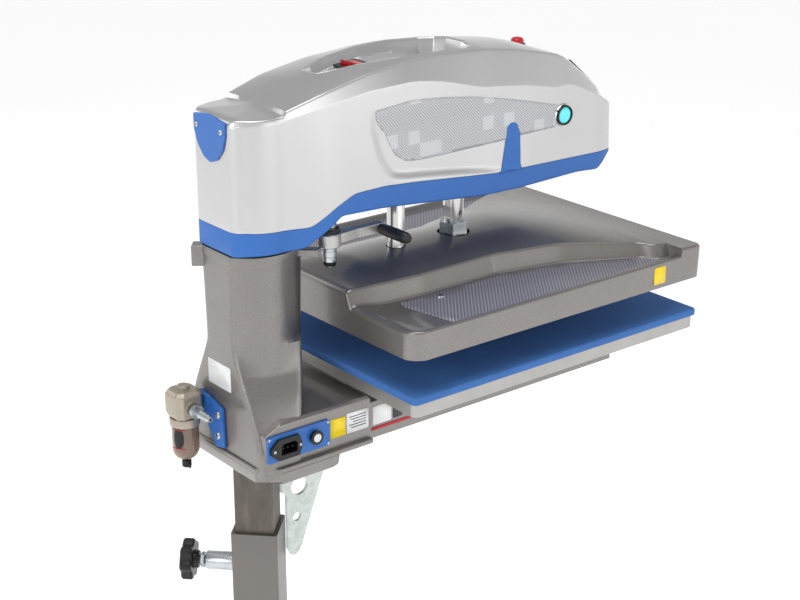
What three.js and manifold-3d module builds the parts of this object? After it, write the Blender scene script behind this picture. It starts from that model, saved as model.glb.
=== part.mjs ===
// Pedestal heat press: swing-away head, drawer-style lower platen, pneumatic upper platen.
// Millimetres, +Z up. Operator stands at -Y, +X is the operator's right.
// Working origin: centre of the lower pad's top face. The whole model is lifted at the end so
// that the casters stand on z = 0 and the outline is centred on x = 0, y = 0.
import * as THREE from 'three';
import { mergeVertices } from 'three/addons/utils/BufferGeometryUtils.js';
import Module from 'manifold-3d';

const wasm = await Module();
wasm.setup();

// ---------------------------------------------------------------- driving dimensions
const GAP = 0.3;                 // clearance between pieces that touch
const PAD_HW = 203, PAD_HL = 254, PAD_T = 9.7;          // 16 x 20 in pad
const PLATE_HW = 200, PLATE_HL = 251, PLATE_T = 17.3;   // aluminium lower platen
const OPEN = 48;                 // daylight between pad and upper platen cover
const COVER_HW = 206, COVER_HL = 256;                   // upper platen cover
const AXIS_Y = 350;              // swing axis
const MAST_Y = 354;              // pedestal axis
const ROD_Y = 22, GUIDE_Y = 122; // press rod and guide shaft
const FLOOR = -950;              // floor under the casters
const LEG_Z0 = -845, LEG = 50;   // pedestal legs
const FRONT_LEG = 600, REAR_LEG = 330;
const WHEEL_R = 37.5, WHEEL_W = 24, TRAIL = 28;
const OUT_TUBE = 61.4, IN_TUBE = 51.4;                  // telescopic mast
const SHIFT = new THREE.Vector3(0, -174.2, 950);

// ---------------------------------------------------------------- helpers
const rootGroup = new THREE.Group();
rootGroup.name = 'heat_press';
rootGroup.position.copy(SHIFT);

const lerp = (a, b, t) => a + (b - a) * t;
function interp(tab, v) {       // tab: [[v, value], ...] ascending in v
  if (v <= tab[0][0]) return tab[0][1];
  for (let i = 1; i < tab.length; i++) if (v <= tab[i][0])
    return lerp(tab[i - 1][1], tab[i][1], (v - tab[i - 1][0]) / (tab[i][0] - tab[i - 1][0]));
  return tab[tab.length - 1][1];
}
const sstep = (a, b, v) => { const t = Math.min(1, Math.max(0, (v - a) / (b - a))); return t * t * (3 - 2 * t); };

function man(geo) {
  let g = geo.clone();
  g.deleteAttribute('normal'); g.deleteAttribute('uv');
  g = mergeVertices(g, 1e-4);
  return new wasm.Manifold(new wasm.Mesh({
    numProp: 3, vertProperties: new Float32Array(g.attributes.position.array),
    triVerts: new Uint32Array(g.index.array) }));
}
function geo(m) {
  const mesh = m.getMesh();
  const g = new THREE.BufferGeometry();
  const p = new Float32Array(mesh.numVert * 3);
  for (let i = 0; i < mesh.numVert; i++) for (let k = 0; k < 3; k++) p[3 * i + k] = mesh.vertProperties[i * mesh.numProp + k];
  g.setAttribute('position', new THREE.BufferAttribute(p, 3));
  g.setIndex(new THREE.BufferAttribute(new Uint32Array(mesh.triVerts), 1));
  g.computeVertexNormals();
  return g;
}
const asMan = (s) => (s && s.isBufferGeometry ? man(s) : s);
const cut = (a, ...bs) => bs.reduce((m, b) => m.subtract(asMan(b)), asMan(a));
const join = (a, ...bs) => bs.reduce((m, b) => m.add(asMan(b)), asMan(a));
const meet = (a, b) => asMan(a).intersect(asMan(b));

function box(x0, x1, y0, y1, z0, z1) {
  return new THREE.BoxGeometry(x1 - x0, y1 - y0, z1 - z0).translate((x0 + x1) / 2, (y0 + y1) / 2, (z0 + z1) / 2);
}
function prism(points, depth) {
  const shape = new THREE.Shape(points.map((p) => new THREE.Vector2(p[0], p[1])));
  return new THREE.ExtrudeGeometry(shape, { depth, bevelEnabled: false });
}
const mapX = new THREE.Matrix4().set(0, 0, 1, 0, 1, 0, 0, 0, 0, 1, 0, 0, 0, 0, 0, 1); // (u,v,w) -> (w,u,v)
const mapY = new THREE.Matrix4().set(0, 1, 0, 0, 0, 0, 1, 0, 1, 0, 0, 0, 0, 0, 0, 1); // (u,v,w) -> (v,w,u)
const prismX = (yz, x0, x1) => prism(yz, x1 - x0).applyMatrix4(mapX).translate(x0, 0, 0);
const prismY = (xz, y0, y1) => prism(xz.map((p) => [p[1], p[0]]), y1 - y0).applyMatrix4(mapY).translate(0, y0, 0);
const prismZ = (xy, z0, z1) => prism(xy, z1 - z0).translate(0, 0, z0);

function rrect(x0, x1, y0, y1, r, seg = 5) {
  const pts = [];
  for (const [cx, cy, a] of [[x1 - r, y1 - r, 0], [x0 + r, y1 - r, 90], [x0 + r, y0 + r, 180], [x1 - r, y0 + r, 270]])
    for (let i = 0; i <= seg; i++) {
      const t = (a + 90 * i / seg) * Math.PI / 180;
      pts.push([cx + r * Math.cos(t), cy + r * Math.sin(t)]);
    }
  return pts;
}
// solid of revolution about Z from [r, z] points, first and last on the axis
function lathe(profile, seg = 32) {
  return new THREE.LatheGeometry(profile.map((p) => new THREE.Vector2(p[0], p[1])), seg).rotateX(Math.PI / 2);
}
const rod = (r, z0, z1, seg = 32) => lathe([[0, z0], [r, z0], [r, z1], [0, z1]], seg);
const rodX = (r, x0, x1, seg = 24) => rod(r, x0, x1, seg).applyMatrix4(mapX);
const at = (g, x, y, z = 0) => g.translate(x, y, z);
// closed loft through equal-count closed loops of THREE.Vector3, capped with fans
function loft(loops) {
  const n = loops[0].length, pos = [], idx = [];
  for (const l of loops) for (const p of l) pos.push(p[0], p[1], p[2]);
  for (let i = 0; i < loops.length - 1; i++) for (let j = 0; j < n; j++) {
    const a = i * n + j, b = i * n + (j + 1) % n, c = a + n, d = b + n;
    idx.push(a, b, d, a, d, c);
  }
  for (const [i, flip] of [[0, true], [loops.length - 1, false]]) {
    const c = [0, 0, 0];
    for (const p of loops[i]) for (let k = 0; k < 3; k++) c[k] += p[k] / n;
    const ci = pos.length / 3; pos.push(...c);
    for (let j = 0; j < n; j++) {
      const a = i * n + j, b = i * n + (j + 1) % n;
      if (flip) idx.push(ci, b, a); else idx.push(ci, a, b);
    }
  }
  const g = new THREE.BufferGeometry();
  g.setAttribute('position', new THREE.BufferAttribute(new Float32Array(pos), 3));
  g.setIndex(idx);
  let v = 0;                                    // signed volume decides the winding
  for (let i = 0; i < idx.length; i += 3) {
    const [a, b, c] = [0, 1, 2].map((k) => new THREE.Vector3(pos[3 * idx[i + k]], pos[3 * idx[i + k] + 1], pos[3 * idx[i + k] + 2]));
    v += a.dot(b.clone().cross(c));
  }
  if (v < 0) { for (let i = 0; i < idx.length; i += 3) { const t = idx[i + 1]; idx[i + 1] = idx[i + 2]; idx[i + 2] = t; } g.setIndex(idx); }
  return g;
}

const MATS = {
  silver_paint: [0xc9cacc, 0.38, 0.55], grey_paint: [0x928e88, 0.5, 0.4], blue_paint: [0x3f78c4, 0.4, 0.1],
  blue_pad: [0x4f86cc, 0.85, 0], raw_aluminium: [0xb8b6b0, 0.5, 0.9], chrome: [0xd8d8d8, 0.15, 1],
  zinc: [0xaeb4b8, 0.35, 0.9], dark_steel: [0x5a5652, 0.45, 0.7], tube_paint: [0x807c78, 0.5, 0.4],
  galvanised: [0xc4cac6, 0.45, 0.8], black_plastic: [0x1a1a1c, 0.45, 0], red_plastic: [0xb4141e, 0.35, 0],
  teal_lens: [0x6edce6, 0.25, 0], carbon: [0x7c7c80, 0.45, 0], beige_metal: [0xa59a8c, 0.5, 0.6],
  smoky_bowl: [0x8f7f72, 0.15, 0], bronze: [0xb08040, 0.4, 0.9], rubber: [0x202020, 0.9, 0],
  insulation: [0xd8cfb8, 0.95, 0],
};
function add(name, shape, slot) {
  const g = shape.isBufferGeometry ? shape : geo(shape);
  if (!g.attributes.normal) g.computeVertexNormals();
  const [color, roughness, metalness] = MATS[slot];
  const material = new THREE.MeshStandardMaterial({ color, roughness, metalness });
  material.name = slot;
  const mesh = new THREE.Mesh(g, material);
  mesh.name = name;
  rootGroup.add(mesh);
  return mesh;
}

// ---------------------------------------------------------------- pedestal
const D = Math.SQRT1_2;
const diag = (g, sx, sy) => {                   // local +X runs out along (sx, sy) from the mast axis
  return g.rotateZ(Math.atan2(sy, sx)).translate(0, MAST_Y, 0);
};
const sqTube = (outer, wall, z0, z1) => {
  const h = outer / 2, i = h - wall;
  return cut(prismZ(rrect(-h, h, -h, h, 3, 3), z0, z1), prismZ(rrect(-i, i, -i, i, 1.5, 2), z0 - 5, z1 + 5));
};
const CLAMP_Z = -278;
{
  let m = sqTube(OUT_TUBE, 4.6, LEG_Z0, -221);
  m = cut(m, at(rodX(6.6, 20, 40, 20), 0, 0, CLAMP_Z));
  add('outer_mast_tube', diag(geo(m), 1, 1), 'tube_paint');
}
function leg(name, sx, sy, len) {
  const x0 = OUT_TUBE / 2 + GAP, h = LEG / 2;
  const outer = prismX(rrect(-h, h, LEG_Z0, LEG_Z0 + LEG, 4, 3), x0, len);
  const inner = prismX(rrect(-h + 3, h - 3, LEG_Z0 + 3, LEG_Z0 + LEG - 3, 2, 2), x0 - 5, len - 4);
  const m = cut(outer, inner, at(rod(6.2, LEG_Z0 - 5, LEG_Z0 + 10, 16), len - 30, 0, 0));
  add(name, diag(geo(m), sx, sy), 'tube_paint');
}
leg('leg_front_left', -1, -1, FRONT_LEG);
leg('leg_front_right', 1, -1, FRONT_LEG);
leg('leg_rear_left', -1, 1, REAR_LEG);
leg('leg_rear_right', 1, 1, REAR_LEG);
{
  const b = cut(rodX(12.5, OUT_TUBE / 2 + GAP, 71, 28), rodX(6.6, 20, 80, 20));
  add('clamp_boss', diag(geo(b).translate(0, 0, CLAMP_Z), 1, 1), 'zinc');
}
function caster(tag, sx, sy, len) {
  const cx = sx * (len - 30) * D, cy = MAST_Y + sy * (len - 30) * D;
  const top = LEG_Z0 - GAP, az = FLOOR + WHEEL_R;
  const side = [[-22, top - 5], [16, top - 5], [-TRAIL + 13, az - 11], [-TRAIL - 13, az - 11], [-TRAIL - 13, az + 6]];
  let f = join(rod(24, top - 6, top, 20), rod(5.8, top - 1, LEG_Z0 + 22, 10), prismX(side, 14, 17), prismX(side, -17, -14),
    at(rodX(4.8, -20, 20, 10), 0, -TRAIL, az));
  add('caster_fork_' + tag, at(geo(f), cx, cy), 'zinc');
  const w = WHEEL_W / 2;
  const wheel = cut(lathe([[0, -w], [WHEEL_R - 2.5, -w], [WHEEL_R, -w + 2.5], [WHEEL_R, w - 2.5], [WHEEL_R - 2.5, w], [0, w]], 28).applyMatrix4(mapX),
    rodX(5.2, -20, 20, 12));
  add('caster_wheel_' + tag, at(geo(wheel), cx, cy - TRAIL, az), 'rubber');
}
caster('front_left', -1, -1, FRONT_LEG);
caster('front_right', 1, -1, FRONT_LEG);
caster('rear_left', -1, 1, REAR_LEG);
caster('rear_right', 1, 1, REAR_LEG);
{
  const s = join(rodX(6.2, IN_TUBE / 2 + 0.5, 86, 20), rodX(10.5, 73, 78, 6));
  add('clamp_screw', diag(geo(s).translate(0, 0, CLAMP_Z), 1, 1), 'zinc');
  const lobes = [];
  for (let i = 0; i < 42; i++) {
    const t = i / 42 * Math.PI * 2, r = 25.6 + 2.4 * Math.cos(7 * t);
    lobes.push([r * Math.cos(t), r * Math.sin(t)]);
  }
  const k = cut(join(prismX(lobes, 87, 103), rodX(12, 81, 90, 24), rodX(17, 101, 105, 28)), rodX(6.5, 75, 92, 20));
  add('clamp_knob', diag(geo(k).translate(0, 0, CLAMP_Z), 1, 1), 'black_plastic');
}

// ---------------------------------------------------------------- press base
add('inner_mast_tube', diag(geo(sqTube(IN_TUBE, 3, -640, -60.3)), 1, 1), 'dark_steel');
{
  const edge = [[317.2, -131], [317.2, -186], [309, -192], [309, -272], [304, -283], [297, -285], [290, -280], [286, -272], [232, -131]];
  const g = cut(join(prismX(edge, -2.5, 2.5), box(-24, 24, 232, 315, -131.5, -126.3)),
    prismX(circle(288, -184, 13.5, 24), -5, 5), prismX(circle(293, -229, 6.5, 16), -5, 5));
  add('mast_gusset', g, 'galvanised');
}
function circle(cx, cy, r, n) {
  const p = [];
  for (let i = 0; i < n; i++) p.push([cx + r * Math.cos(2 * Math.PI * i / n), cy + r * Math.sin(2 * Math.PI * i / n)]);
  return p;
}
// column outline at height z: a round post with a flat back that flares into the base
const COL_A = [[-110, 90], [-77, 86], [-15, 60], [20, 42], [50, 26], [168, 32]];
const COL_B = [[-110, 93], [-97, 90], [-45, 88], [-15, 82], [0, 76], [20, 68], [40, 63], [60, 60.5], [168, 61]];
const COL_R = [[-110, 61], [60, 58.5], [168, 61]];
const N_COL = 40;
function columnLoop(z, grow = 0) {
  const a = interp(COL_A, z) + grow, b = interp(COL_B, z) + grow, R = interp(COL_R, z) + grow;
  const rear = 402 + grow - AXIS_Y, pts = [];
  for (let i = 0; i < N_COL; i++) {
    const t = (i + 0.5) / N_COL * Math.PI * 2, c = Math.cos(t), s = Math.sin(t);
    let r = R;
    // flare: straight wall from the back corner (a, rear) to the side point (b, 0.45 rear)
    const ax = a, ay = rear, bx = b, by = rear * 0.35;
    const ac = Math.abs(c);
    if (s > 0) {
      const nx = (ay - by), ny = (bx - ax), dd = nx * ax + ny * ay;
      const rw = dd / (nx * ac + ny * s);
      const rs = bx / Math.max(ac, 1e-6);
      const rr = rear / Math.max(s, 1e-6);
      r = Math.min(rr, Math.max(R, Math.min(rw, rs)));
    } else if (z < 0) r = Math.max(R, Math.min(b / Math.max(ac, 1e-6), R * 1.25) * sstep(0, -90, z) + R * (1 - sstep(0, -90, z)));
    pts.push([r * c, AXIS_Y + r * s, z]);
  }
  return pts;
}
{
  const levels = [-109, -97, -77, -45, -15, 0, 20, 40, 60, 100, 157];
  const column = loft(levels.map((z) => columnLoop(z)));
  const collar = loft([156, 168].map((z) => columnLoop(z, 0.6)));
  const lower = loft([[-121.5, 94, 404, 296], [-116, 99, 409, 289], [-102, 100, 410, 288]].map(([z, hw, y1, y0]) =>
    [[hw, y0], [hw, y1 - 26], [hw - 22, y1], [-hw + 22, y1], [-hw, y1 - 26], [-hw, y0]].map((p) => [p[0], p[1], z])));
  const ledge = prismZ([[100, 235], [100, 384], [78, 410], [-78, 410], [-100, 384], [-100, 235]], -102.5, -97);
  const body = join(box(-90, 90, 235, 392, -98, -41), loft([[-41.5, 90, 235], [-37, 87, 238]].map(([z, hw, y0]) =>
    [[hw, y0], [hw, 345], [-hw, 345], [-hw, y0]].map((p) => [p[0], p[1], z]))));
  const earF = box(58, 87, -7, 7, 157, 167).rotateZ(220 * Math.PI / 180).translate(0, AXIS_Y, 0);
  const earR = box(57, 74, -10, 10, 141, 168).rotateZ(51 * Math.PI / 180).translate(0, AXIS_Y, 0);
  let m = join(column, collar, lower, ledge, body, earF, earR);
  m = cut(m, at(rod(22, -30, 200, 32), 0, AXIS_Y),                       // swing post socket
    box(-82, 82, 243, 390.6, -130, -60),                                   // underside hollow
    at(rodX(8, -110, -70, 20), 0, 326, -67.5),                           // reset button hole
    box(-110, -70, 352, 382, -80.5, -58.5));                                 // mains inlet hole
  add('base_casting', m, 'grey_paint');
}
add('swing_post', at(rod(21.7, -29.7, 305, 36), 0, AXIS_Y), 'chrome');
{
  const h = cut(box(-86, 86, -206, 234.6, -101, -50), box(-83, 83, -203, 231.6, -97, 0));
  add('rail_housing', h, 'grey_paint');
}
add('rail_left', box(-60, -44, -198, 226, -96.7, -80), 'raw_aluminium');
add('rail_right', box(44, 60, -198, 226, -96.7, -80), 'raw_aluminium');
{
  const p = cut(prismX(rrect(302, 397, -86, -51, 3, 2), -93.3, -90.3),
    box(-100, -85, 352.6, 381.4, -79.9, -59.1), at(rodX(7.7, -100, -85, 24), 0, 326, -67.5));
  add('power_panel', p, 'blue_paint');
  const hexa = [[347, -69.5], [352, -83.5], [383, -83.5], [394, -73.5], [394, -65.5], [383, -55.5], [352, -55.5]];
  const inlet = cut(join(prismX(hexa, -97.5, -93.6), box(-94, -74, 353, 381, -79.5, -59.5)),
    prismX([[355, -77], [379, -77], [379, -65.5], [375, -62], [359, -62], [355, -65.5]], -98, -80));
  add('power_inlet', join(inlet, ...[360, 367, 374].map((y) => at(rodX(1.2, -93, -79, 8), 0, y, -70.5))), 'black_plastic');
  add('reset_button', at(join(rodX(7.2, -99, -80, 24), rodX(9.5, -100, -97, 24)), 0, 326, -67.5), 'zinc');
}
{
  const br = [[46, -28], [28, -31], [-6, -39], [-8, -92], [12, -96], [40, -56]];
  add('filter_bracket', join(prismY(br, 402.9, 405.9), box(20, 44, 405, 409, -55, -30)), 'blue_paint');
  const cx = 46, cy = 430;
  const body = join(loft([[-58, 17.5], [-50, 20], [-26, 20], [-21, 16]].map(([z, h]) => [[h, -h + 7], [h, h - 7], [h - 7, h], [-h + 7, h], [-h, h - 7], [-h, -h + 7], [-h + 7, -h], [h - 7, -h]].map((p) => [cx + p[0], cy + p[1], z]))),
    at(rod(8, -22, -16, 20), cx, cy), at(rodX(9.5, 17, 24, 20), cx, cy, -40));
  add('filter_body', cut(body, at(rodX(6.3, -40, -16, 20), cx, cy, -43)), 'beige_metal');
  const bowl = cut(at(lathe([[0, -118], [10, -117], [15, -112], [17.5, -104], [17.5, -58.3], [0, -58.3]], 22), cx, cy),
    at(lathe([[0, -115], [9, -114], [13, -110], [15, -103], [15, -50], [0, -50]], 22), cx, cy), at(rod(3.4, -125, -110, 14), cx, cy));
  add('filter_bowl', bowl, 'smoky_bowl');
  const barb = lathe([[0, 0], [5.6, 0], [5.6, 6], [9, 6.1], [9, 13], [4.5, 13.1], [4.5, 20], [6, 21], [4.2, 27], [5.6, 27.5], [3.6, 34], [5.2, 34.5], [3.2, 42], [0, 42]], 16);
  add('hose_barb', geo(cut(barb, rod(1.8, 20, 50, 12))).applyMatrix4(mapX).rotateZ(Math.PI).translate(cx - 16.5 - 4, cy, -43), 'zinc');
  add('drain_cock', at(join(rod(3.1, -121, -112, 14), at(rod(6.2, -130, -120.2, 12), 0, 0), box(-9, 9, -1.6, 1.6, -130, -124)), cx, cy), 'black_plastic');
}

// ---------------------------------------------------------------- lower platen drawer
{
  const c = cut(box(-66, 66, -20, 104, -79.7, -68), ...[]);
  add('draw_carriage', c, 'raw_aluminium');
  add('platen_post', cut(prismZ(rrect(-46, 46, -4, 88, 10, 4), -67.7, -27.3), prismZ(rrect(-36, 36, 6, 78, 6, 4), -80, 0)), 'grey_paint');
  add('lower_platen', prismZ(rrect(-PLATE_HW, PLATE_HW, -PLATE_HL, PLATE_HL, 9, 4), -PAD_T - PLATE_T, -PAD_T - GAP), 'raw_aluminium');
  add('lower_pad', prismZ(rrect(-PAD_HW, PAD_HW, -PAD_HL, PAD_HL, 7, 4), -PAD_T, 0), 'blue_pad');
}

// ---------------------------------------------------------------- swing head
const TRAY = [[23, 16], [29, 36], [50, 46], [100, 48], [155, 44], [205, 33], [243, 22], [258, 15]];
const TOP = [[-206, 275], [-195, 287], [-120, 349.5], [-109, 354], [-43, 368], [17, 376], [90, 380], [110, 381], [143, 380], [217, 373], [284, 360], [345, 342.5], [375, 340.5], [396, 339.5], [402, 335]];
const SEAM = [[-206, 211.5], [-33, 214], [17, 215], [144, 227], [198, 231], [246, 230], [274, 218], [307, 197], [376, 200], [402, 201]];
const BOT = [[-206, 210.5], [-174, 187], [-150, 189], [-134, 190], [-32, 187], [36, 188], [145, 198], [203, 203], [266, 205], [286, 190], [316, 171], [384, 171], [402, 170]];
const CREASE = [[-206, 57], [-196, 66], [-180, 68], [-120, 60], [-64, 56], [6, 54], [99, 57], [162, 61], [217, 65], [284, 68], [345, 62.5]];
const FACET = [[-206, 3], [-190, 8], [-150, 22], [-100, 44], [32, 46], [90, 34], [150, 24], [284, 16], [345, 10], [402, 8]];
function headHalf(y, z) {
  let w;
  if (y >= 345) w = Math.sqrt(Math.max(0, 63.8 * 63.8 - (y - AXIS_Y) ** 2));
  else w = interp([[-206, 58], [-200, 64], [-184, 68.5], [-172, 70], [284, 70], [316, 66.5], [345, 63.6]], y);
  return w + 8 * sstep(335, 262, y) * (375 - z) / 185;
}
const crown = (y) => 6 * sstep(-130, -60, y) * sstep(360, 250, y);
function coverLoop(y, d, openDown) {
  const t = interp(TOP, y), zf = t - interp(FACET, y), zs = interp(SEAM, y) + (openDown ? -30 : GAP);
  let wc = y > 345 ? headHalf(y, t) - 2 : interp(CREASE, y);
  wc = Math.min(wc, headHalf(y, t));
  const r = [[headHalf(y, zs) - d, zs], [headHalf(y, (zs + zf) / 2) - d, (zs + zf) / 2], [headHalf(y, zf) - d, zf - d * 0.5], [wc - d, t - d],
    [wc * 0.5, t + crown(y) * 0.75 - d], [0, t + crown(y) - d]];
  const l = r.slice(0, 5).reverse().map((p) => [-p[0], p[1]]);
  return [...r, ...l].map((p) => [p[0], y, p[1]]);
}
const HEAD_Y = [-206, -203, -195, -184, -174, -150, -134, -120, -109, -66, -33, 17, 36, 90, 120, 144, 170, 198, 222, 246, 266, 274, 286, 296, 307, 316, 345, 362, 376, 390, 402];
{
  const outer = loft(HEAD_Y.map((y) => coverLoop(y, 0, false)));
  const inner = loft(HEAD_Y.map((y) => {
    const yy = Math.max(-202.5, Math.min(398.5, y));
    return coverLoop(yy, 3, true);
  }).filter((l, i, a) => i === 0 || l[0][1] > a[i - 1][0][1] + 1e-3));
  const trayHole = prismZ(boat(0), 340, 420);
  const m = cut(outer, inner, trayHole, box(-40, 40, -210, -120, 302, 339),
    at(rodX(13.2, -120, 120, 28), 0, -107, 274), at(rod(9.7, 300, 420, 24), 37, -122));
  add('head_cover', m, 'silver_paint');
}
function boat(grow) {           // outline of the recess in the head's top
  const r = TRAY.map(([y, w]) => [w + grow, y + (y > 255 ? grow : y < 25 ? -grow : 0)]);
  return [...r, ...r.slice().reverse().map((p) => [-p[0], p[1]])];
}
{
  // one sheet-metal tray: floor follows the roof 14 mm down, deeper finger pocket at the front
  const floorTop = [[23, 352], [73, 354], [86, 366.5], [125, 369], [158, 368.5], [232, 362.5], [258, 357]];
  const ys = [23, 29, 50, 73, 86, 100, 125, 155, 205, 232, 243, 258];
  const hw = (y) => interp(TRAY, y) - GAP;
  const loopAt = (y, w, z0, z1) => [[w, y, z0], [w, y, z1], [-w, y, z1], [-w, y, z0]];
  const solid = loft(ys.map((y) => { const yy = Math.min(257.7, Math.max(23.3, y)); return loopAt(yy, hw(y), interp(floorTop, y) - 3, interp(TOP, y) - 1.5); }));
  const hollow = loft(ys.map((y) => { const yy = Math.min(255.2, Math.max(25.8, y)); return loopAt(yy, hw(y) - 2.2, interp(floorTop, y), 420); }));
  add('top_tray', cut(solid, hollow, box(-14, 14, 177, 207, 340, 372)), 'carbon');
}
{
  const pitch = 0.085;            // the roof drops towards the rear
  const place = (g) => g.rotateX(-pitch).translate(0, 192, 367.5);
  add('rocker_frame', geo(cut(join(box(-16, 16, -17, 17, 0.4, 4.4), box(-12.6, 12.6, -13.6, 13.6, -12, 2)), box(-10.6, 10.6, -11.6, 11.6, -9, 10))).applyMatrix4(new THREE.Matrix4()).rotateX(-pitch).translate(0, 192, 367.5), 'black_plastic');
  add('power_rocker', place(prismX([[9.2, 4], [9.6, 10.5], [0, 5.6], [-10.6, 5.0], [-9.6, -1.2], [0, -7.2], [9.6, -1.2]], -10, 10)), 'red_plastic');
}
{
  const shape = (y, d, up) => {
    const zb = interp(BOT, y), zs = interp(SEAM, y);
    const z0 = zb + (up ? 3 : 0), z1 = up ? zs + 20 : zs;
    const q = [[headHalf(y, z0) - d, z0], [headHalf(y, z1) - d, Math.max(z1, z0 + 0.8)]];
    return [q[0], q[1], [-q[1][0], q[1][1]], [-q[0][0], q[0][1]]].map((p) => [p[0], y, p[1]]);
  };
  const ys = HEAD_Y;
  const outer = loft(ys.map((y) => shape(y, 0, false)));
  const inner = loft(ys.filter((y) => y > -206 && y < 402).map((y) => shape(y, 3, true)).map((l, i, a) => {
    if (i === 0) return shape(-199.5, 3, true); if (i === a.length - 1) return shape(398.5, 3, true); return l; }));
  const m = cut(outer, inner, at(rod(46, 140, 240, 40), 0, AXIS_Y), at(rod(17, 170, 230, 28), 0, ROD_Y),
    at(rod(14.5, 170, 240, 28), 0, GUIDE_Y), at(rod(9.6, 170, 240, 24), -57, 272));
  add('head_trim', m, 'blue_paint');
}
{
  const beam = [[-70, 232], [-70, 296], [0, 318], [120, 322], [250, 312], [330, 300], [392, 292], [392, 232]];
  let m = join(prismX(beam, -38, 38), box(-60, 60, ROD_Y - 66, ROD_Y + 66, 232, 306), at(rod(46, 206, 300, 40), 0, AXIS_Y),
    box(-66, -30, 257, 287, 232, 252));
  m = cut(m, at(rod(48.3, 190, 400, 40), 0, ROD_Y), at(rod(28.3, 150, 400, 32), 0, AXIS_Y), at(rod(18.3, 150, 400, 28), 0, GUIDE_Y));
  add('head_frame', m, 'grey_paint');
  add('swing_bush', cut(at(rod(28, 206.3, 299.7, 32), 0, AXIS_Y), at(rod(22.1, 190, 320, 36), 0, AXIS_Y)), 'bronze');
  add('guide_bush', cut(at(rod(18, 214, 322, 28), 0, GUIDE_Y), at(rod(12.3, 190, 400, 28), 0, GUIDE_Y)), 'bronze');
  add('air_cylinder', cut(at(lathe([[0, 206], [26, 206], [26, 222], [48, 222], [48, 330], [30, 330], [30, 338], [0, 338]], 36), 0, ROD_Y), at(rod(14.7, 190, 268, 28), 0, ROD_Y)), 'raw_aluminium');
}
{
  const badge = [[34, 336], [34, 318], [27, 300], [14, 286], [0, 281], [-14, 286], [-27, 300], [-34, 318], [-34, 336], [0, 341]];
  add('rear_badge', prismY(badge, 402.3, 405), 'blue_paint');
  // control console on the 45 degree front slope
  const slope = Math.atan2(62.5, 75);
  add('control_panel', geo(cut(join(box(-58, 58, -31, 31, 0.4, 3), box(-38, 38, -22, 22, -9, 1)), box(60, 70, 0, 1, 0, 1))).rotateX(slope).translate(0, -155, 320.3), 'black_plastic');
  add('stop_button', at(lathe([[0, 331], [6.8, 331], [6.8, 352], [9, 352.2], [9.2, 356], [8, 359], [4, 360.3], [0, 360.5]], 24), 37, -122), 'red_plastic');
  for (const [tag, s] of [['left', -1], ['right', 1]]) {
    const wall = headHalf(-107, 274);
    const bez = cut(lathe([[0, -14], [13, -14], [13, 0.4], [15, 0.4], [14.2, 3.2], [0, 3.2]], 32), lathe([[0, -20], [11.4, -20], [11.4, 20], [0, 20]], 32));
    const btn = lathe([[0, -12], [11, -12], [11, 1.6], [9, 3], [0, 3.6]], 28);
    const dir = new THREE.Matrix4().makeRotationY(s * Math.PI / 2);
    add('start_bezel_' + tag, at(geo(bez).applyMatrix4(dir), s * (wall + 0.5), -107, 274), 'chrome');
    add('start_button_' + tag, at(btn.applyMatrix4(dir), s * (wall + 0.5), -107, 274), 'teal_lens');
  }
}

// ---------------------------------------------------------------- swing lock lever
{
  const px = -57, py = 272;
  add('lever_post', at(lathe([[0, 137], [7.4, 137], [7.8, 144], [8.8, 144.5], [8.8, 182], [9.1, 183], [9.1, 231], [0, 231]], 28), px, py), 'zinc');
  const armPts = [[-10, -6], [-9, -20], [-6, -40], [-7, -72], [-6, -81], [6, -81], [6.5, -72], [6.5, -40], [9, -20], [12, -6]];
  const arm = cut(join(at(rod(14.6, 163, 181, 28), 0, 0), prismZ(armPts, 165, 180)), rod(9.1, 150, 200, 28));
  add('lever_arm', at(geo(arm), px, py), 'raw_aluminium');
  add('lever_grip', at(lathe([[0, 0], [6.5, 0], [7.3, 3], [7.6, 50], [6, 54], [0, 54.5]], 24).applyMatrix4(mapX).rotateZ(Math.PI), px - 7.4, py - 76, 172.5), 'black_plastic');
}

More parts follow.
